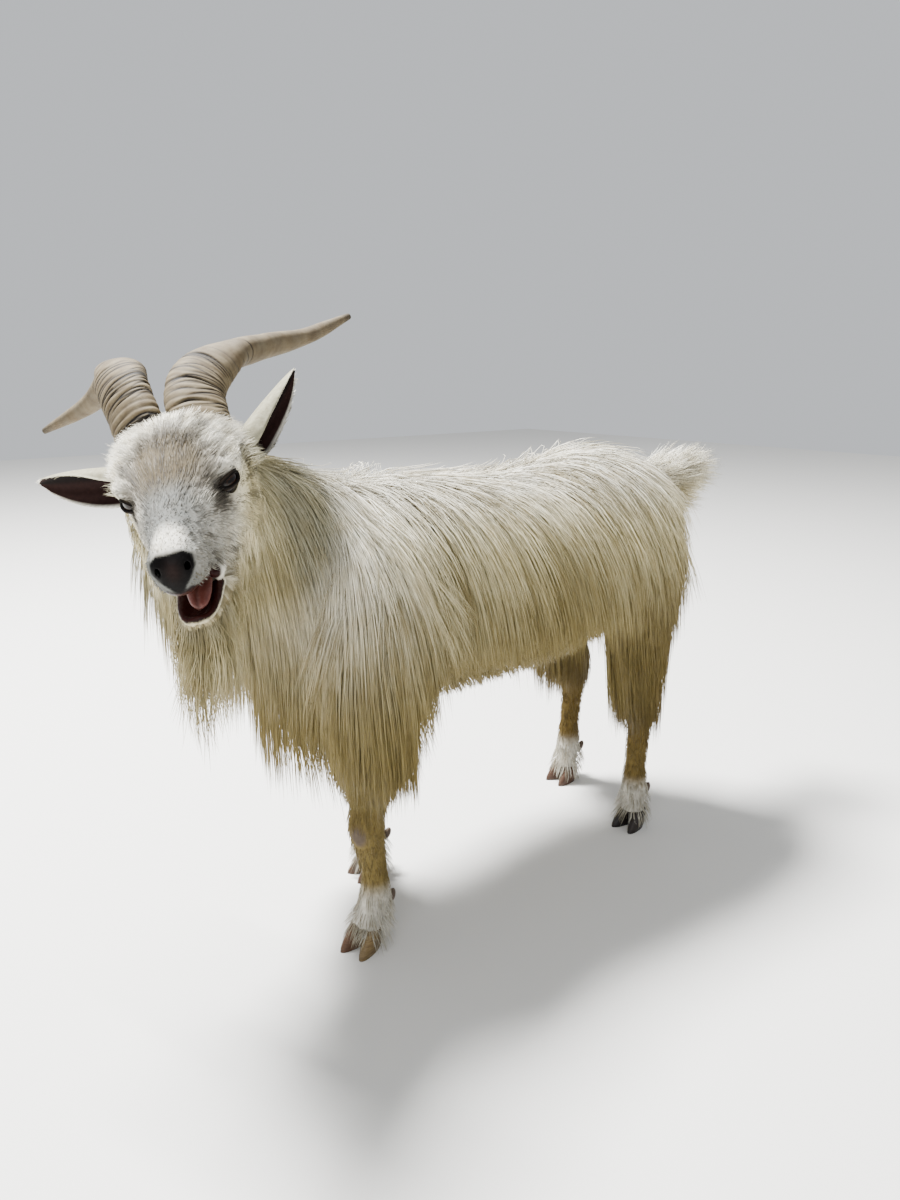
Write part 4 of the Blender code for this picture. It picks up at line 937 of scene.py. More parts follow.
# The coat. Each kind of fur grows on some forms, where its own mask keeps it.
# Its last field, root, is painted shade: how bright a hair stays at its root.
Fur = namedtuple("Fur", "name parts keep strands guides length lie width lift fall clump frizz steps streak root")
# How far from the skin it is looked for, and how steeply a hair may climb.
NEAR_SKIN = 0.03
MOST_RISE = 0.15
# How many times more the hair stands off where the skin faces up, along the body.
CREST_AT = (-0.32, -0.25, -0.16, -0.07, 0.00, 0.11, 0.18, 0.26, 0.32)
CREST = (1.0, 2.0, 3.0, 2.0, 2.2, 3.8, 3.4, 2.8, 0.8)
# How much sooner the hair of the rump turns down.
RUMP_FALL = 2.5
# How many guides shape a strand, how locks wave, and how far guides stray.
BLENDED = 4
LOCK_WAVES, LOCK_SWING = 0.8, 2.5
GUIDE_STRAY = 0.05
# Strands' lengths against their guides', and guides' lengths against their form's.
SHORTEST, LONGEST = 0.5, 1.18
UNEVEN = (0.78, 1.10)
FLOOR_GAP, ROOT_SINK = 0.001, 0.002
# The size of a strand's patch on the unwrap.
PATCH = 0.003
# How far a normal points back where the tail ends, and the lightest that hair may be.
TAIL_END = 0.5
BRIGHTEST = 0.92


def sampled(surface, count, draw):
    """Roots spread by area over the surface: their points, outward ways and places on its unwrap."""
    corners = surface.points[surface.triangles]
    area = np.linalg.norm(np.cross(corners[:, 1] - corners[:, 0], corners[:, 2] - corners[:, 0]), axis=1)
    chosen = np.searchsorted(np.cumsum(area) / area.sum(), draw.random(count))
    first, second = np.sqrt(draw.random(count)), draw.random(count)
    weights = np.stack([1 - first, first * (1 - second), first * second], -1)[:, :, None]
    normals = surface.normals()[surface.triangles]
    return (
        (corners[chosen] * weights).sum(1),
        unit((normals[chosen] * weights).sum(1)),
        (surface.places[chosen] * weights).sum(1),
    )


def stood_off(tree, points, rest):
    """Points moved out until each stands at least its rest height off the skin."""
    out = points.copy()
    for i, point in enumerate(points):
        near, normal, _, far = tree.find_nearest(point, NEAR_SKIN)
        if near is None:
            continue
        height = far if normal.dot(Vector(point) - near) > 0 else -far
        if height < rest[i]:
            out[i] = point + np.array(normal) * (rest[i] - height)
    return out


def lifted(fur, points, normals):
    """How high the fur stands off the skin: more where the skin faces up."""
    return fur.lift * (1 + np.interp(points[:, 0], CREST_AT, CREST) * np.clip(normals[:, 2], 0, 1) ** 2)


def traced(tree, roots, normals, lie, lengths, fur):
    """Lines of hair laid over the skin from their roots: they keep to its surface and sink under their weight."""
    paths, point = [roots], roots
    heading = unit(lie - normals * np.minimum((lie * normals).sum(1), 0)[:, None])
    fall = fur.fall * (1 + RUMP_FALL * smooth_step(0.20, 0.29, roots[:, 0]))
    for k in range(fur.steps):
        heading = unit(heading + np.outer(fall, DOWN))
        rest = lifted(fur, roots, normals) * ((k + 1) / fur.steps) ** 0.7
        new = stood_off(tree, point + heading * lengths[:, None] / fur.steps, rest)
        heading, point = unit(new - point), new
        if fur.fall:
            heading[:, 2] = np.minimum(heading[:, 2], MOST_RISE)
        paths.append(point)
    return np.stack(paths, 1)


def waved(paths, fur, draw):
    """Guides with a slow wave along each, so that whole locks bend together."""
    share = np.linspace(0, 1, fur.steps + 1)[None, :, None]
    phase = draw.uniform(0, 2 * math.pi, (len(paths), 1, 1))
    swing = np.sin(phase + share * 2 * math.pi * LOCK_WAVES) - np.sin(phase)
    return paths + swing * unit(draw.normal(0, 1, (len(paths), 1, 3))) * fur.frizz * LOCK_SWING


def strand_paths(tree, fur, roots, normals, guide_paths, draw):
    """Each strand blends the lines of the guides round it, and is drawn to the nearest towards its tip."""
    finder = KDTree(len(guide_paths))
    for i, path in enumerate(guide_paths):
        finder.insert(path[0], i)
    finder.balance()
    many = min(BLENDED, len(guide_paths))
    found = [finder.find_n(root, many) for root in roots]
    chosen = np.array([[one[1] for one in group] for group in found])
    far = np.array([[one[2] for one in group] for group in found])
    weights = 1 / (far + far.mean())
    weights /= weights.sum(1, keepdims=True)
    nearest = chosen[:, 0]
    share = np.linspace(0, 1, fur.steps + 1)
    lines = guide_paths - guide_paths[:, :1]
    shape = sum(lines[chosen[:, k]] * weights[:, k, None, None] for k in range(many))
    longer = draw.triangular(SHORTEST, 1.0, LONGEST, (len(roots), 1, 1))
    paths = roots[:, None] + shape * longer
    centre = guide_paths[nearest, :1] + shape * longer
    paths = paths + (centre - paths) * (fur.clump * share**1.4)[None, :, None]
    wave = draw.normal(0, 1, (len(roots), 1, 3)) * share[None, :, None]
    phase = draw.uniform(0, 2 * math.pi, (len(roots), 1, 1))
    curl = np.sin(phase + share[None, :, None] * 2 * math.pi * 1.3) - np.sin(phase)
    paths += fur.frizz * (wave + curl * draw.normal(0, 1, (len(roots), 1, 3)) * 0.5)
    height = lifted(fur, roots, normals) * draw.uniform(0.25, 1.15, len(roots))
    for k in range(1, fur.steps + 1):
        paths[:, k] = stood_off(tree, paths[:, k], height * share[k] ** 0.7)
    paths[..., 2] = np.maximum(paths[..., 2], FLOOR_GAP)
    paths[:, 0] -= normals * min(ROOT_SINK, fur.lift)
    return paths, nearest


def strand_mesh(paths, normals, widths):
    """Thin three-sided hairs that taper to their tips: points, triangles, and shares along and round a hair."""
    count, rings = len(paths), paths.shape[1] - 1
    ahead = unit(np.gradient(paths, axis=1))[:, :rings]
    side = unit(np.cross(ahead, normals[:, None]))
    out = np.cross(side, ahead)
    share = np.linspace(0, 1, rings + 1)[:rings]
    half = widths[:, None] * (0.5 * np.interp(share, (0, 0.3, 1), (0.75, 1.0, 0.45)))[None]
    corners = [
        paths[:, :rings] + (side * math.cos(a) + out * (math.sin(a) * 0.8)) * half[..., None]
        for a in (math.radians(angle) for angle in (90, 210, 330))
    ]
    body = np.stack(corners, 2).reshape(count, -1, 3)
    points = np.concatenate([body, paths[:, -1:]], 1)
    per = points.shape[1]
    triangles = []
    for k in range(rings - 1):
        for j in range(3):
            a, b = 3 * k + j, 3 * k + (j + 1) % 3
            triangles += [(a, b, b + 3), (a, b + 3, a + 3)]
    last = 3 * (rings - 1)
    triangles += [(last + j, last + (j + 1) % 3, per - 1) for j in range(3)]
    triangles = np.array(triangles)[None] + (np.arange(count) * per)[:, None, None]
    along = np.append(np.repeat(share, 3), 1.0)
    around = np.append(np.tile((0.0, 0.5, 1.0), rings), 0.5)
    return points, triangles.reshape(-1, 3), along, around


def coat_mesh(name, points, triangles, colours, uvs, look):
    """A mesh of many hairs, with their colours and their patches on the unwrap."""
    mesh = bpy.data.meshes.new(name)
    count = len(triangles)
    mesh.vertices.add(len(points))
    mesh.loops.add(3 * count)
    mesh.polygons.add(count)
    mesh.vertices.foreach_set("co", moved(points, PLACE).astype(np.float32).ravel())
    mesh.loops.foreach_set("vertex_index", triangles.astype(np.int32).ravel())
    mesh.polygons.foreach_set("loop_start", np.arange(0, 3 * count, 3, dtype=np.int32))
    mesh.polygons.foreach_set("use_smooth", np.ones(count, bool))
    mesh.update(calc_edges=True)
    colour = mesh.attributes.new("tint", "FLOAT_COLOR", "POINT")
    rgba = np.hstack([colours, np.ones((len(colours), 1))]).astype(np.float32)
    colour.data.foreach_set("color", rgba.ravel())
    layer = mesh.uv_layers.new(name="OFBake")
    layer.data.foreach_set("uv", uvs[triangles.ravel()].astype(np.float32).ravel())
    mesh.materials.append(look)
    return mesh


# The most triangles in one piece of the coat.
MOST_TRIANGLES = 190000


def tile(number, tiles):
    """Where a form's own unwrap lies in the whole unwrap, with a margin round it."""
    side = math.ceil(math.sqrt(tiles))
    return np.array(((number % side) / side, (number // side) / side)), 0.97 / side


def grown_coat(fur, forms, tree, look, draw):
    """The pieces of one kind of fur."""
    names = sorted(forms)
    batches = []
    for part in fur.parts:
        corner, scale = tile(names.index(part), len(names))
        chosen = []
        for wanted in (fur.guides, fur.strands):
            roots, normals, places = sampled(forms[part], int(wanted / len(fur.parts)), draw)
            near = np.array([tree.find_nearest(root, 0.006)[0] is not None for root in roots])
            kept = near & (draw.random(len(roots)) < fur.keep(roots, normals))
            chosen.append((roots[kept], normals[kept], places[kept]))
        (guides, guide_normals, _), (roots, normals, places) = chosen
        if not len(guides) or not len(roots):
            continue
        lengths = fur.length(guides) * draw.uniform(*UNEVEN, len(guides))
        lie = fur.lie(guides, guide_normals) + draw.normal(0, GUIDE_STRAY, guides.shape)
        guide_paths = waved(traced(tree, guides, guide_normals, lie, lengths, fur), fur, draw)
        paths, nearest = strand_paths(tree, fur, roots, normals, guide_paths, draw)
        locks = [draw.random(len(guides))[nearest] for _ in range(2)]
        shade = np.stack([*locks, draw.random(len(roots))], -1)
        batches.append((paths, normals, corner + places * scale, shade))
    paths, normals, places, shade = (np.concatenate(column) for column in zip(*batches))
    widths = fur.width * draw.uniform(0.7, 1.4, len(paths))
    points, triangles, along, around = strand_mesh(paths, normals, widths)
    colours = strand_tones(points, along, shade, fur)
    uvs = places[:, None] + PATCH * (np.stack([around, along], -1) - 0.5)[None]
    most = MOST_TRIANGLES // (len(triangles) // len(paths))
    made = []
    for start in range(0, len(paths), most):
        stop = min(start + most, len(paths))
        per, each = points.shape[1], len(triangles) // len(paths)
        mesh = coat_mesh(
            f"coat_{fur.name}_{len(made) + 1}",
            points[start:stop].reshape(-1, 3),
            triangles[start * each : stop * each] - start * per,
            colours[start:stop].reshape(-1, 3),
            uvs[start:stop].reshape(-1, 2),
            look,
        )
        thing = bpy.data.objects.new(mesh.name, mesh)
        bpy.context.scene.collection.objects.link(thing)
        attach(thing, "root")
        made.append(thing)
    return made


def strand_tones(points, along, shade, fur):
    """Colour of each point of each hair: the coat's own, with darker strokes lock by lock, and painted shade
    deepest at the root.
    """
    lock, other, own = shade.T
    colour = coat_tone(points.reshape(-1, 3)).reshape(points.shape)
    darker = streak_tone(points.reshape(-1, 3)).reshape(points.shape)
    head = head_points(points[:, 0])
    on_head = smooth_step(0.16, 0.13, np.linalg.norm(head, axis=1))
    lock = lock * (1 - on_head) + strokes(head) * on_head
    dark = fur.streak * smooth_step(0.35, 0.85, 0.80 * lock + 0.20 * own)
    colour = mixed(colour, darker, dark[:, None] * (0.75 + 0.25 * along)[None])
    # Painted shade: each hair darkens towards its root, to fur.root of its brightness, and is fully bright from
    # half way out.
    depth = fur.root + (1.03 - fur.root) * np.minimum(2 * along, 1)
    light = depth[None] * (0.77 + 0.16 * other + 0.10 * own)[:, None]
    return np.clip(colour * light[..., None], 0, BRIGHTEST)


def everywhere(points, normals):
    """The whole form."""
    return np.ones(len(points))


# How far the body's hair lies back for each step down, from the shoulder to the rump.
SWEEP_AT = (-0.25, -0.10, 0.00, 0.10, 0.17, 0.23, 0.30)
SWEEP = (0.04, 0.06, 0.09, 0.07, -0.08, -0.25, -0.30)


def body_lie(points, normals):
    """Outwards from the spine, down and back, and along the belly."""
    top = np.clip(normals[:, 2], 0, 1)
    outward = np.clip(points[:, 1] / 0.04, -1, 1) * top
    belly = smooth_step(0.345, 0.300, points[:, 2])
    swept = np.interp(points[:, 0], SWEEP_AT, SWEEP) * smooth_step(0.6, 0.1, normals[:, 0])
    back = swept + 0.9 * belly + 0.6 * top**3
    return np.stack([back, outward, 0.6 * belly - 1.0], -1)


def neck_lie(points, normals):
    """Back over the shoulder on the sides, and straight down in front."""
    outward = np.sign(points[:, 1]) * np.clip(normals[:, 2], 0, 1) * np.where(points[:, 1] > 0, 0.5, 1.2)
    back = 0.55 * smooth_step(-0.8, 0.2, normals[:, 0])
    return np.stack([back, outward, np.full(len(points), -1.0)], -1)


def leg_lie(points, normals):
    """Down and a little back, drawn in to the hock behind, and flared over the hooves."""
    x, _, z = points.T
    hock = (x > 0) * smooth_step(0.13, 0.20, z) * np.clip(4.0 * (HOCK_X - x), -0.25, 0.30)
    flare = smooth_step(0.070, 0.045, z)[:, None] * normals * 0.9
    return np.stack([0.08 + hock, np.zeros(len(points)), np.full(len(points), -1.0)], -1) + flare


def tail_lie(points, normals):
    """Along the tail, fanned out."""
    return np.array((1.0, 0.0, -0.05)) + normals * 0.36


def in_head(lie):
    """A lie written in the head's frame."""

    def turned(points, normals):
        head = head_points(points)
        turn = np.array(HEAD.to_3x3())
        return unit(lie(head, normals @ turn)) @ turn.T

    return turned


def face_lie(head, normals):
    """Away from the nose, and down on the cheeks."""
    away = unit(head - NOSE_TIP)
    spread = smooth_step(0.03, -0.02, head[:, 0]) * np.clip(head[:, 1] / 0.03, -1, 1) * (head[:, 2] > 0.02)
    low = smooth_step(0.01, -0.04, head[:, 2])
    return away + np.outer(low, (0, 0, -0.7)) + np.outer(spread, (0, 0.7, 0)) + normals * 0.03


def crown_lie(head, normals):
    """Up and outwards in a loose crest."""
    side = np.clip(head[:, 1] / 0.03, -1, 1)
    return np.stack([np.full(len(head), -0.7), side * 0.7, np.full(len(head), 0.4)], -1) + normals * 0.2


def tuft_lie(head, normals):
    """Outwards, up and back, in loose tufts."""
    side = np.sign(head[:, 1])
    return np.stack([np.full(len(head), -0.5), side * 0.9, np.full(len(head), 0.5)], -1) + normals * 0.5


def ear_lie(head, normals):
    """Along the ear to its tip."""
    axes = {side: unit(np.array(EARS[side][1]) - np.array(EARS[side][0])) for side in EARS}
    return np.where(head[:, 1:2] > 0, axes[LEFT], axes[RIGHT]) + normals * 0.12


def cheek_lie(head, normals):
    """Down over the cheeks, and back on the near one."""
    near = smooth_step(-0.02, 0.02, head[:, 1])
    return DOWN_IN_HEAD + np.outer(near, (-0.45, 0, 0)) + normals * 0.05


def beard_lie(head, normals):
    """Down from the chin."""
    return DOWN_IN_HEAD + normals * 0.12


def torso_length(points):
    """Longest on the sides, short under the belly."""
    x, _, z = points.T
    low = smooth_step(0.460, 0.345, z) * smooth_step(-0.20, -0.12, x)
    return 0.160 - 0.138 * low - 0.04 * smooth_step(0.20, 0.30, x) * (1 - low)


# The height at which the long hair of the legs ends, fore and hind.
SKIRT_END, BREECHES_END = 0.178, 0.150
HOCK_X = 0.240
RUFF_END = 0.275


def upper_leg_length(points):
    """Long enough to reach the skirt's hem, and short just above it."""
    end = np.where(points[:, 0] < 0, SKIRT_END + 0.28 * np.clip(-0.215 - points[:, 0], 0, 0.2), BREECHES_END)
    return np.clip(points[:, 2] - end, 0.022, 0.150)


def lower_leg_length(points):
    """Short, longer on the pastern and above the knee and hock."""
    return 0.013 + 0.015 * smooth_step(0.085, 0.050, points[:, 2]) + 0.02 * smooth_step(0.15, 0.21, points[:, 2])


def neck_length(points):
    """Long on the sides, and no lower than the ruff's edge in front."""
    return np.clip(points[:, 2] - RUFF_END, 0.05, 0.145)


def flat_length(length):
    """The same length all over."""
    return lambda points: np.full(len(points), length)


def face_length(points):
    """Shortest at the nose and round the eyes, longer to the cheeks."""
    head = head_points(points)
    eye = np.linalg.norm(np.abs(head) - (EYE_AT[0], 0.048, EYE_AT[2]), axis=1)
    full = 0.0045 + 0.0165 * smooth_step(0.105, 0.02, head[:, 0])
    return full * (0.12 + 0.88 * smooth_step(0.013, 0.030, eye))


def crown_length(points):
    """Short on the forehead, and longest between and behind the horns."""
    return 0.014 + 0.012 * smooth_step(0.0, -0.05, head_points(points)[:, 0])


def cheek_length(points):
    """Short beside the face and long at the back of the jaw."""
    head = head_points(points)
    near = smooth_step(-0.02, 0.02, head[:, 1])
    back = smooth_step(0.0, -0.04, head[:, 0]) * smooth_step(0.02, -0.03, head[:, 2])
    low = smooth_step(-0.030, -0.055, head[:, 2])
    return 0.018 + 0.012 * near + (0.008 + 0.067 * near) * back + 0.045 * low * (1 - near)


def beard_length(points):
    """Long and uneven under the chin, shorter towards the throat and on the far side."""
    jaw = jaw_points(points)
    return 0.080 + 0.035 * smooth_step(0.0, 0.06, jaw[:, 0]) - 0.02 * smooth_step(0.0, -0.015, jaw[:, 1])


def shank_kept(points, normals):
    """The shanks, clear of the callus."""
    return callus(points) < 0.4


def tail_end(points, normals):
    """The rounded end of the tail."""
    return normals[:, 0] > TAIL_END


def face_kept(points, normals):
    """The face, clear of the nose pad, lips, mouth and eyes."""
    head = head_points(points)
    kept = skin_tone(points, normals)[1] < 0.3
    for side in (LEFT, RIGHT):
        eye = moved(head, eye_frame(side).inverted())
        kept &= ~((eye[:, 0] > 0) & ((eye[:, 1] / LID_LONG) ** 2 + (eye[:, 2] / LID_HIGH) ** 2 < 2.2))
    return kept & (head[:, 0] > -0.07) & (nose_pad(head) < 0.3)


def crown_kept(points, normals):
    """The top of the head, behind the brow."""
    head = head_points(points)
    return smooth_step(0.015, -0.01, head[:, 0]) * (head[:, 2] > 0.022) * (head[:, 0] > -0.085)


def cheek_kept(points, normals):
    """The cheeks and the back of the jaw, behind the eyes."""
    head = head_points(points)
    return (head[:, 0] < -0.030 - 0.8 * head[:, 2]) * (head[:, 2] < 0.012) * 1.0


TUFTS_AT = (-0.060, 0, 0.018)


def tuft_kept(points, normals):
    """Round the roots of the ears and behind the horns."""
    away = np.abs(head_points(points) - TUFTS_AT)
    return (away[:, 0] < 0.030) * (away[:, 1] > 0.026) * (away[:, 2] < 0.022) * 1.0


def beard_kept(points, normals):
    """The underside of the chin."""
    jaw = jaw_points(points)
    return (jaw[:, 2] < -0.060) * (jaw[:, 0] > -0.02) * 1.0


FORELEGS = ("foreleg_upper_left", "foreleg_upper_right")
HINDLEGS = ("hindleg_upper_left", "hindleg_upper_right")
SHANKS = tuple(f"{part}_lower_{word}" for part in ("foreleg", "hindleg") for word in ("left", "right"))
# Each kind of hair on two lines: where and along what it grows, then its numbers in the order of Fur.
FURS = (
    Fur("torso", ("torso",), everywhere, 25500, 2400, torso_length, body_lie,
        0.0011, 0.006, 0.42, 0.30, 0.0005, 4, 0.80, 0.52),
    Fur("neck", ("neck",), everywhere, 12500, 1000, neck_length, neck_lie,
        0.0011, 0.008, 0.45, 0.35, 0.0010, 4, 0.40, 0.92),
    Fur("shoulder", FORELEGS, everywhere, 8600, 800, upper_leg_length, leg_lie,
        0.0011, 0.007, 0.25, 0.35, 0.0010, 4, 0.7, 0.52),
    Fur("thigh", HINDLEGS, everywhere, 9000, 700, upper_leg_length, leg_lie,
        0.0011, 0.006, 0.30, 0.45, 0.0012, 4, 0.7, 0.52),
    Fur("shank", SHANKS, shank_kept, 7200, 1100, lower_leg_length, leg_lie,
        0.0008, 0.0022, 0.05, 0.30, 0.0004, 3, 0.5, 0.70),
    Fur("tail", ("tail",), everywhere, 3200, 160, flat_length(0.092), tail_lie,
        0.0010, 0.003, 0.0, 0.25, 0.0030, 5, 0.4, 0.76),
    Fur("brush", ("tail",), tail_end, 700, 60, flat_length(0.084), tail_lie,
        0.0010, 0.003, 0.0, 0.25, 0.0030, 5, 0.3, 0.86),
    Fur("face", ("skull", "jaw"), face_kept, 29000, 2200, face_length, in_head(face_lie),
        0.0006, 0.0006, 0.0, 0.30, 0.0001, 2, 0.80, 0.66),
    Fur("crown", ("skull",), crown_kept, 34000, 1600, crown_length, in_head(crown_lie),
        0.0004, 0.0010, 0.02, 0.4, 0.0006, 3, 0.20, 0.62),
    Fur("tufts", ("skull",), tuft_kept, 12000, 900, flat_length(0.021), in_head(tuft_lie),
        0.0006, 0.002, 0.02, 0.4, 0.0012, 4, 0.4, 0.62),
    Fur("ears", ("ear_left", "ear_right"), everywhere, 4200, 400, flat_length(0.009), in_head(ear_lie),
        0.0005, 0.0005, 0.0, 0.3, 0.0002, 2, 0.45, 0.75),
    Fur("cheeks", ("skull",), cheek_kept, 9000, 600, cheek_length, in_head(cheek_lie),
        0.0009, 0.004, 0.30, 0.35, 0.0012, 4, 0.5, 0.60),
    Fur("beard", ("jaw",), beard_kept, 4200, 260, beard_length, in_head(beard_lie),
        0.0008, 0.004, 0.10, 0.60, 0.0040, 5, 0.5, 0.60),
)


def eyeball_part(side):
    """An eyeball with a level slot pupil in a dark amber iris."""
    around, rings = 48, 30
    latitudes = np.linspace(0.0, math.pi, rings + 2)[1:-1]
    angles = 2 * math.pi * np.arange(around) / around
    rows = [
        np.stack([np.full(around, math.cos(a)), math.sin(a) * np.cos(angles), math.sin(a) * np.sin(angles)], -1)
        for a in latitudes
    ]
    ball = tube(np.array(rows), (0.002, 0.002))
    local = ball.points * EYE_RADIUS
    radial = np.hypot(local[:, 1], local[:, 2])
    front = local[:, 0] > 0
    iris = smooth_step(IRIS + 0.0008, IRIS - 0.0004, radial) * front
    slot = (np.abs(local[:, 1]) / PUPIL_LONG) ** 4 + (local[:, 2] / PUPIL_HIGH) ** 2
    pupil = smooth_step(1.4, 0.7, slot) * front
    colour = mixed(EYE_DARK, mixed(EYE_DARK, EYE_AMBER, smooth_step(IRIS, 0.003, radial)), iris)
    colour = mixed(colour, EYE_DARK * 0.3, pupil)
    return Part(moved(local, HEAD @ eye_frame(side)), ball.triangles, colour, np.ones(len(local)))


def horn_part(side):
    """A horn with uneven wrinkles round it, deep cracks near its base and a smooth, slender end."""
    count, sides = 380, 40
    line = resample([(*point, 0) for point in HORNS[side]], count)[:, :3]
    ways = unit(np.gradient(line, axis=0))
    draw = np.random.default_rng(SEED - side)
    share = np.linspace(0, 1, count)[:, None]
    angle = (2 * math.pi * (np.arange(sides) + 0.5) / sides)[None]
    wander = sum(np.sin(k * angle + draw.uniform(0, 6) + draw.uniform(-20, 20) * share) / k for k in (1, 2, 3, 5))
    turns = np.cumsum(draw.uniform(0.2, 1.8, count))[:, None] * 0.75 + 0.9 * wander
    worn = smooth_step(0.42, 0.12, share)
    height = (0.10 + 0.90 * worn) * (0.00020 * np.sin(turns) + 0.00025 * np.sin(0.23 * turns + 1))
    dark = 0.45 * (0.5 - 0.5 * np.sin(turns)) ** 4 * (0.15 + 0.85 * worn)
    places = draw.triangular(0.02, 0.06, 0.50, FINE_CRACKS)
    fine = [(place, draw.uniform(0.0018, 0.0044), draw.uniform(0.0002, 0.0008)) for place in places]
    for place, half, depth in (*HORN_CRACKS, *fine):
        own = wander + 1.6 * np.sin(angle * draw.integers(1, 3) + draw.uniform(0, 6))
        crack = np.exp(-(((share - place - 0.0050 * own) / half) ** 2)) * np.clip(0.45 + 0.45 * own, 0, 1)
        height = height - depth * crack
        dark = np.maximum(dark, min(1.0, 500 * depth + 0.70) * np.minimum(1.4 * crack, 1))
    keel = np.array((math.cos(HORN_KEEL_TURN), -side * math.sin(HORN_KEEL_TURN), 0))
    keels = unit(keel - ways * (ways @ keel)[:, None])
    flats = np.cross(ways, keels)
    steps = np.linspace(0, 1, len(HORN_BROAD_TAPER))
    broad = HORN_BROAD * np.interp(share, steps, HORN_BROAD_TAPER) + height
    narrow = HORN_NARROW * np.interp(share, steps, HORN_NARROW_TAPER) + height
    across = (broad * np.cos(angle))[..., None] * keels[:, None]
    rings = line[:, None] + across + (narrow * np.sin(angle))[..., None] * flats[:, None]
    form = tube(rings, (0.002, 0.003))
    grey = smooth_step(0.20, 0.45, share) * 0.5 + 0.25 * (0.5 + 0.5 * np.sin(0.23 * turns))
    pale = mixed(HORN_PALE, HORN_GREY, grey)
    tints = mixed(pale, HORN_DARK, np.maximum(dark, smooth_step(0.93, 1.0, share) * 0.6)).reshape(-1, 3)
    colour = np.vstack([tints, tints[:1], tints[-1:]])
    return Part(moved(form.points, HEAD), form.triangles, colour, np.zeros(len(colour)))


def claw_part(foot, across, side_out, colour):
    """One claw of a cloven hoof, flat on the floor, with fine growth lines."""
    rows = resample([(z, 0, 0, back, half, front, heel) for z, back, half, front, heel in CLAW], 22)
    rings = []
    for z, _, _, back, half, front, heel in rows:
        z = max(z, 0.0)
        line = 0.00025 * math.sin(z * 2600)
        centre = np.array((back, across, z))
        ahead = np.array((-1, side_out * CLAW_SPLAY, 0))
        rings.append(ring(centre, np.array((0, 1, 0)), ahead, half + line, front + line, heel + line, 24))
    form = tube(np.array(rings), (0.0, 0.001))
    height = smooth_step(0.0, 0.02, form.points[:, 2])
    shade = mixed(colour * 0.75, colour, height)
    return Part(moved(form.points, foot), form.triangles, shade, np.zeros(len(shade)))


DEWCLAW_TONE = tone(84, 70, 58)
# The inner and outer claw's colour of each foot.
HOOF_TONES = {
    ("foreleg", LEFT): (tone(96, 68, 46), tone(124, 104, 68)),
    ("foreleg", RIGHT): (tone(90, 66, 48), tone(84, 62, 46)),
    ("hindleg", LEFT): (tone(34, 28, 26), tone(40, 33, 29)),
    ("hindleg", RIGHT): (tone(78, 54, 38), tone(72, 50, 36)),
}


def hoof_pieces(look):
    """The claws and dewclaws of all four feet, and the claws' own shapes."""
    claws = []
    for part, lower in (("foreleg", FORE_SHANK), ("hindleg", HIND_SHANK)):
        for side, word in SIDE_WORDS.items():
            points = shifted(lower, *STANCE[part, side])
            coronet, fetlock = points[CORONET], points[FETLOCK]
            turn = Matrix.Rotation(-side * FOOT_TURN[part, side], 4, "Z")
            sole = Matrix.Translation((coronet[0] - TOE_AHEAD, side * coronet[1], 0)) @ turn
            heel = Matrix.Translation((fetlock[0], side * fetlock[1], fetlock[2] - DEWCLAW_DROP)) @ turn
            for out, where, colour in zip((-side, side), ("inner", "outer"), HOOF_TONES[part, side]):
                name = f"claw_{part}_{word}_{where}"
                claws.append(claw_part(sole, out * CLAW_APART, out, colour))
                piece(f"horny_{name}", claws[-1], look, (name,))
                place = (fetlock[4] + DEWCLAW_BACK, out * DEWCLAW_APART, 0)
                nub = blob(DEWCLAW, place, Matrix.Rotation(DEWCLAW_LEAN, 4, "Y")).moved(heel)
                tint = np.tile(DEWCLAW_TONE, (len(nub.points), 1))
                horny = Part(nub.points, nub.triangles, tint, np.zeros(len(tint)))
                name = f"dewclaw_{part}_{word}_{where}"
                piece(f"horny_{name}", horny, look, (name,))
    return claws


def tongue_part():
    """The tongue with its middle furrow, painted darker there as painted shade."""
    form = tube(limb_rings(TONGUE[:-1] + TONGUE_TIP, 1, 60, 32), (0.003, 0.0005))
    middle = np.exp(-(((form.points[:, 1] - 0.002) / 0.0022) ** 2))
    points = form.points - np.outer(middle * 0.0014, (0, 0, 1))
    # Painted shade: the furrow is painted darker.
    colour = mixed(TONGUE_PINK, TONGUE_PINK * 0.6, middle)
    return Part(moved(points, HEAD @ JAW), form.triangles, colour, np.ones(len(points)))


def nostrils_cut(surface):
    """The head with its two nostrils hollowed out."""
    thing = bpy.data.objects.new("head", plain_mesh("head", surface.points, surface.triangles))
    bpy.context.scene.collection.objects.link(thing)
    hollows = []
    for side in SIDE_WORDS:
        place = (NOSTRIL[0], MUZZLE_BEND - side * NOSTRIL[1], NOSTRIL[2])
        turn = Matrix.Rotation(side * 0.5, 4, "Z") @ Matrix.Rotation(0.5, 4, "Y")
        form = blob(NOSTRIL_SIZE, place, turn).moved(HEAD)
        hollow = bpy.data.objects.new("hollow", plain_mesh("hollow", form.points, form.triangles))
        bpy.context.scene.collection.objects.link(hollow)
        step = thing.modifiers.new("cut", "BOOLEAN")
        step.operation, step.object, step.solver = "DIFFERENCE", hollow, "MANIFOLD"
        hollows.append(hollow)
    graph = bpy.context.evaluated_depsgraph_get()
    made = thing.evaluated_get(graph)
    points, triangles = read_mesh(made.to_mesh())
    made.to_mesh_clear()
    for used in (thing, *hollows):
        bpy.data.objects.remove(used)
    return Surface(points, triangles, None)


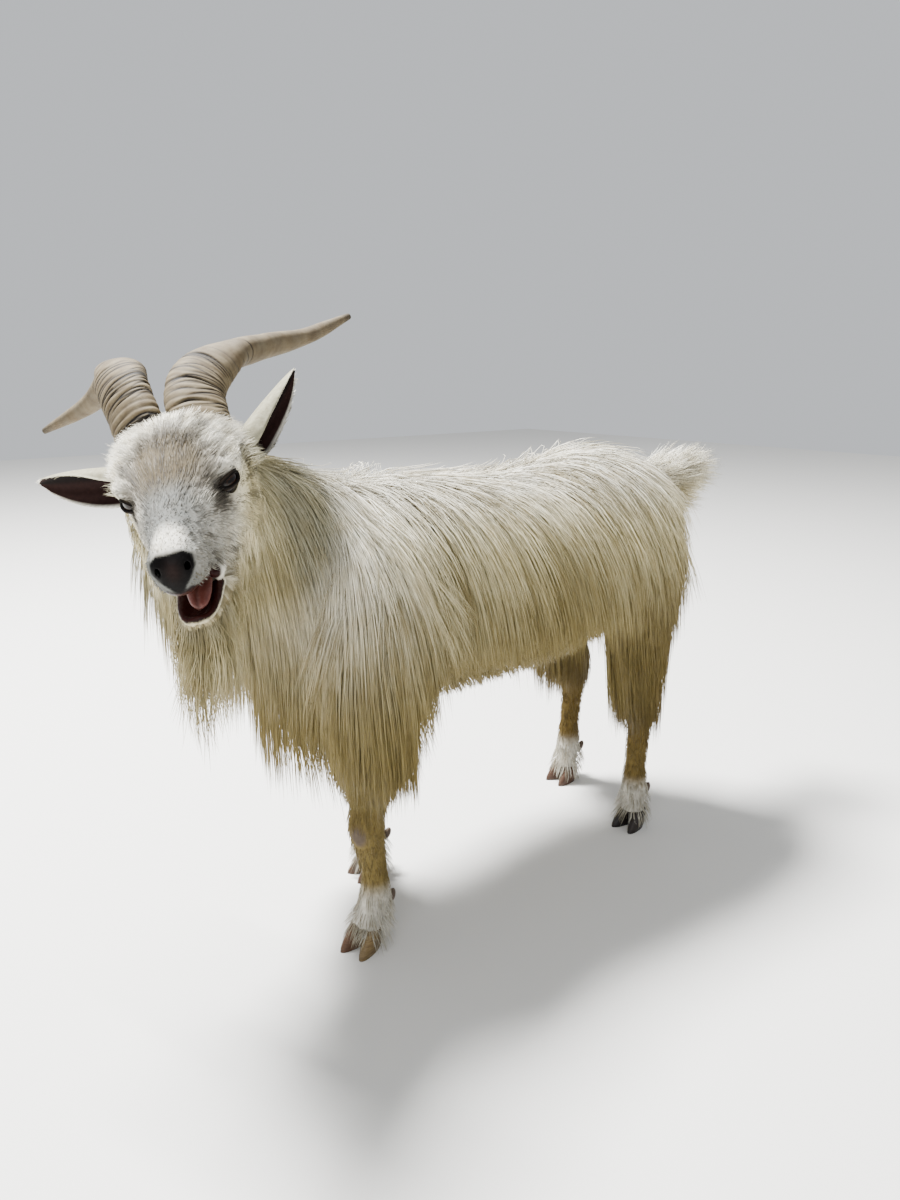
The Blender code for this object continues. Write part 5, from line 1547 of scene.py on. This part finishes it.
def skin_part(forms):
    """The whole skin, and the bare part of it that the coat lies on."""
    body_names = [name for name in forms if name not in ("skull", "jaw")]
    body = remeshed([forms[name] for name in body_names], BODY_VOXEL, 6)
    places = [(CHEEK_AT[0], -side * CHEEK_AT[1], CHEEK_AT[2]) for side in SIDE_WORDS]
    folds = [blob(CHEEK_SIZE, place, Matrix()).moved(HEAD) for place in places]
    head = nostrils_cut(remeshed([forms["skull"], forms["jaw"], *folds], HEAD_VOXEL, 4))
    parts = []
    for surface in (body, head):
        colour, wet = skin_tone(surface.points, surface.normals())
        parts.append(Part(surface.points, surface.triangles, colour, wet))
    bare = joined(parts)
    for side in SIDE_WORDS:
        parts += [ear_part(side), lid_part(side)]
    return joined(parts), bare


# The first words of the nodes whose place the skin takes.
FLESH = {"torso", "neck", "head", "lower", "tail", "foreleg", "hindleg", "ear"}


def build_goat():
    """The whole goat: skin first, then the pieces that stand out of it, and the coat over them."""
    forms = flesh_forms()
    skin, bare = skin_part(forms)
    flesh = [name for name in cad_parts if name.split("_")[0] in FLESH]
    piece("skin", skin, skin_material(), flesh)
    eye = grained("eye", 0.10, 0.25, 900, (0.6, 0.5, 0.4))
    horn = grained("horn", 0.75, 0.2, 90, (0.62, 0.56, 0.50), bump=(0.5, 0.0010))
    hoof = grained("hoof", 0.5, 0.3, 160, (0.55, 0.50, 0.45), (1, 1, 5), (0.4, 0.0006))
    tongue = grained("tongue", 0.36, 0.3, 400, (0.75, 0.62, 0.60), bump=(0.6, 0.0006))
    for side, word in SIDE_WORDS.items():
        piece(f"clear_eye_{word}", eyeball_part(side), eye, (f"eye_{word}",))
        piece(f"ringed_horn_{word}", horn_part(side), horn, (f"horn_{word}",))
    claws = hoof_pieces(hoof)
    piece("moist_tongue", tongue_part(), tongue, ("tongue",))
    build_coat(forms, search_tree(joined([bare, *claws])), search_tree(skin))


def search_tree(part):
    """A tree to find the nearest place on a part."""
    return BVHTree.FromPolygons(part.points.tolist(), [list(face) for face in part.faces])


def build_coat(forms, body_tree, ear_tree):
    """Every kind of fur, each laid over the skin; the ears' own over the skin with its ears."""
    for side, word in SIDE_WORDS.items():
        forms[f"ear_{word}"] = ear_back(side)
    look = grained("coat", 0.5, 0.2, 60, (0.86, 0.82, 0.74))
    draw = np.random.default_rng(SEED)
    for fur in FURS:
        made = grown_coat(fur, forms, ear_tree if fur.name == "ears" else body_tree, look, draw)
        if fur.name == "beard":
            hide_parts("beard")


def build_stage():
    """A pale floor, a large soft key light high behind the goat, and soft light from all round."""
    floor_mesh = plain_mesh("floor", [(-6, -6, 0), (6, -6, 0), (6, 6, 0), (-6, 6, 0)], [(0, 1, 2, 3)])
    floor = bpy.data.objects.new("floor", floor_mesh)
    bpy.context.scene.collection.objects.link(floor)
    look = bpy.data.materials.new("floor")
    look.use_nodes = True
    shader = look.node_tree.nodes["Principled BSDF"]
    shader.inputs["Base Color"].default_value = (0.70, 0.69, 0.66, 1)
    shader.inputs["Roughness"].default_value = 0.9
    floor_mesh.materials.append(look)
    world = bpy.data.worlds.new("soft")
    world.use_nodes = True
    back = world.node_tree.nodes["Background"]
    back.inputs["Color"].default_value = (0.93, 0.96, 1.0, 1)
    back.inputs["Strength"].default_value = 0.72
    bpy.context.scene.world = world
    for name, place, size, power in (
        ("key", (-0.5, 1.3, 3.4), 0.9, 860),
        ("fill", (-2.6, -2.4, 1.8), 2.4, 60),
    ):
        light = bpy.data.lights.new(name, "AREA")
        light.shape, light.size, light.energy = "SQUARE", size, power
        lamp = bpy.data.objects.new(name, light)
        lamp.location = place
        lamp.rotation_euler = (Vector(place) - Vector((0, 0, 0.35))).to_track_quat("Z", "Y").to_euler()
        bpy.context.scene.collection.objects.link(lamp)


def build_camera():
    """The camera at the photograph's place."""
    data = bpy.data.cameras.new("camera")
    data.lens, data.sensor_width = LENS, SENSOR
    camera = bpy.data.objects.new("camera", data)
    camera.location = PLACE @ Vector(CAMERA_AT)
    camera.rotation_euler = (math.pi / 2 - CAMERA_PITCH, 0, -CAMERA_YAW)
    bpy.context.scene.collection.objects.link(camera)
    bpy.context.scene.camera = camera


build_goat()
build_stage()
build_camera()
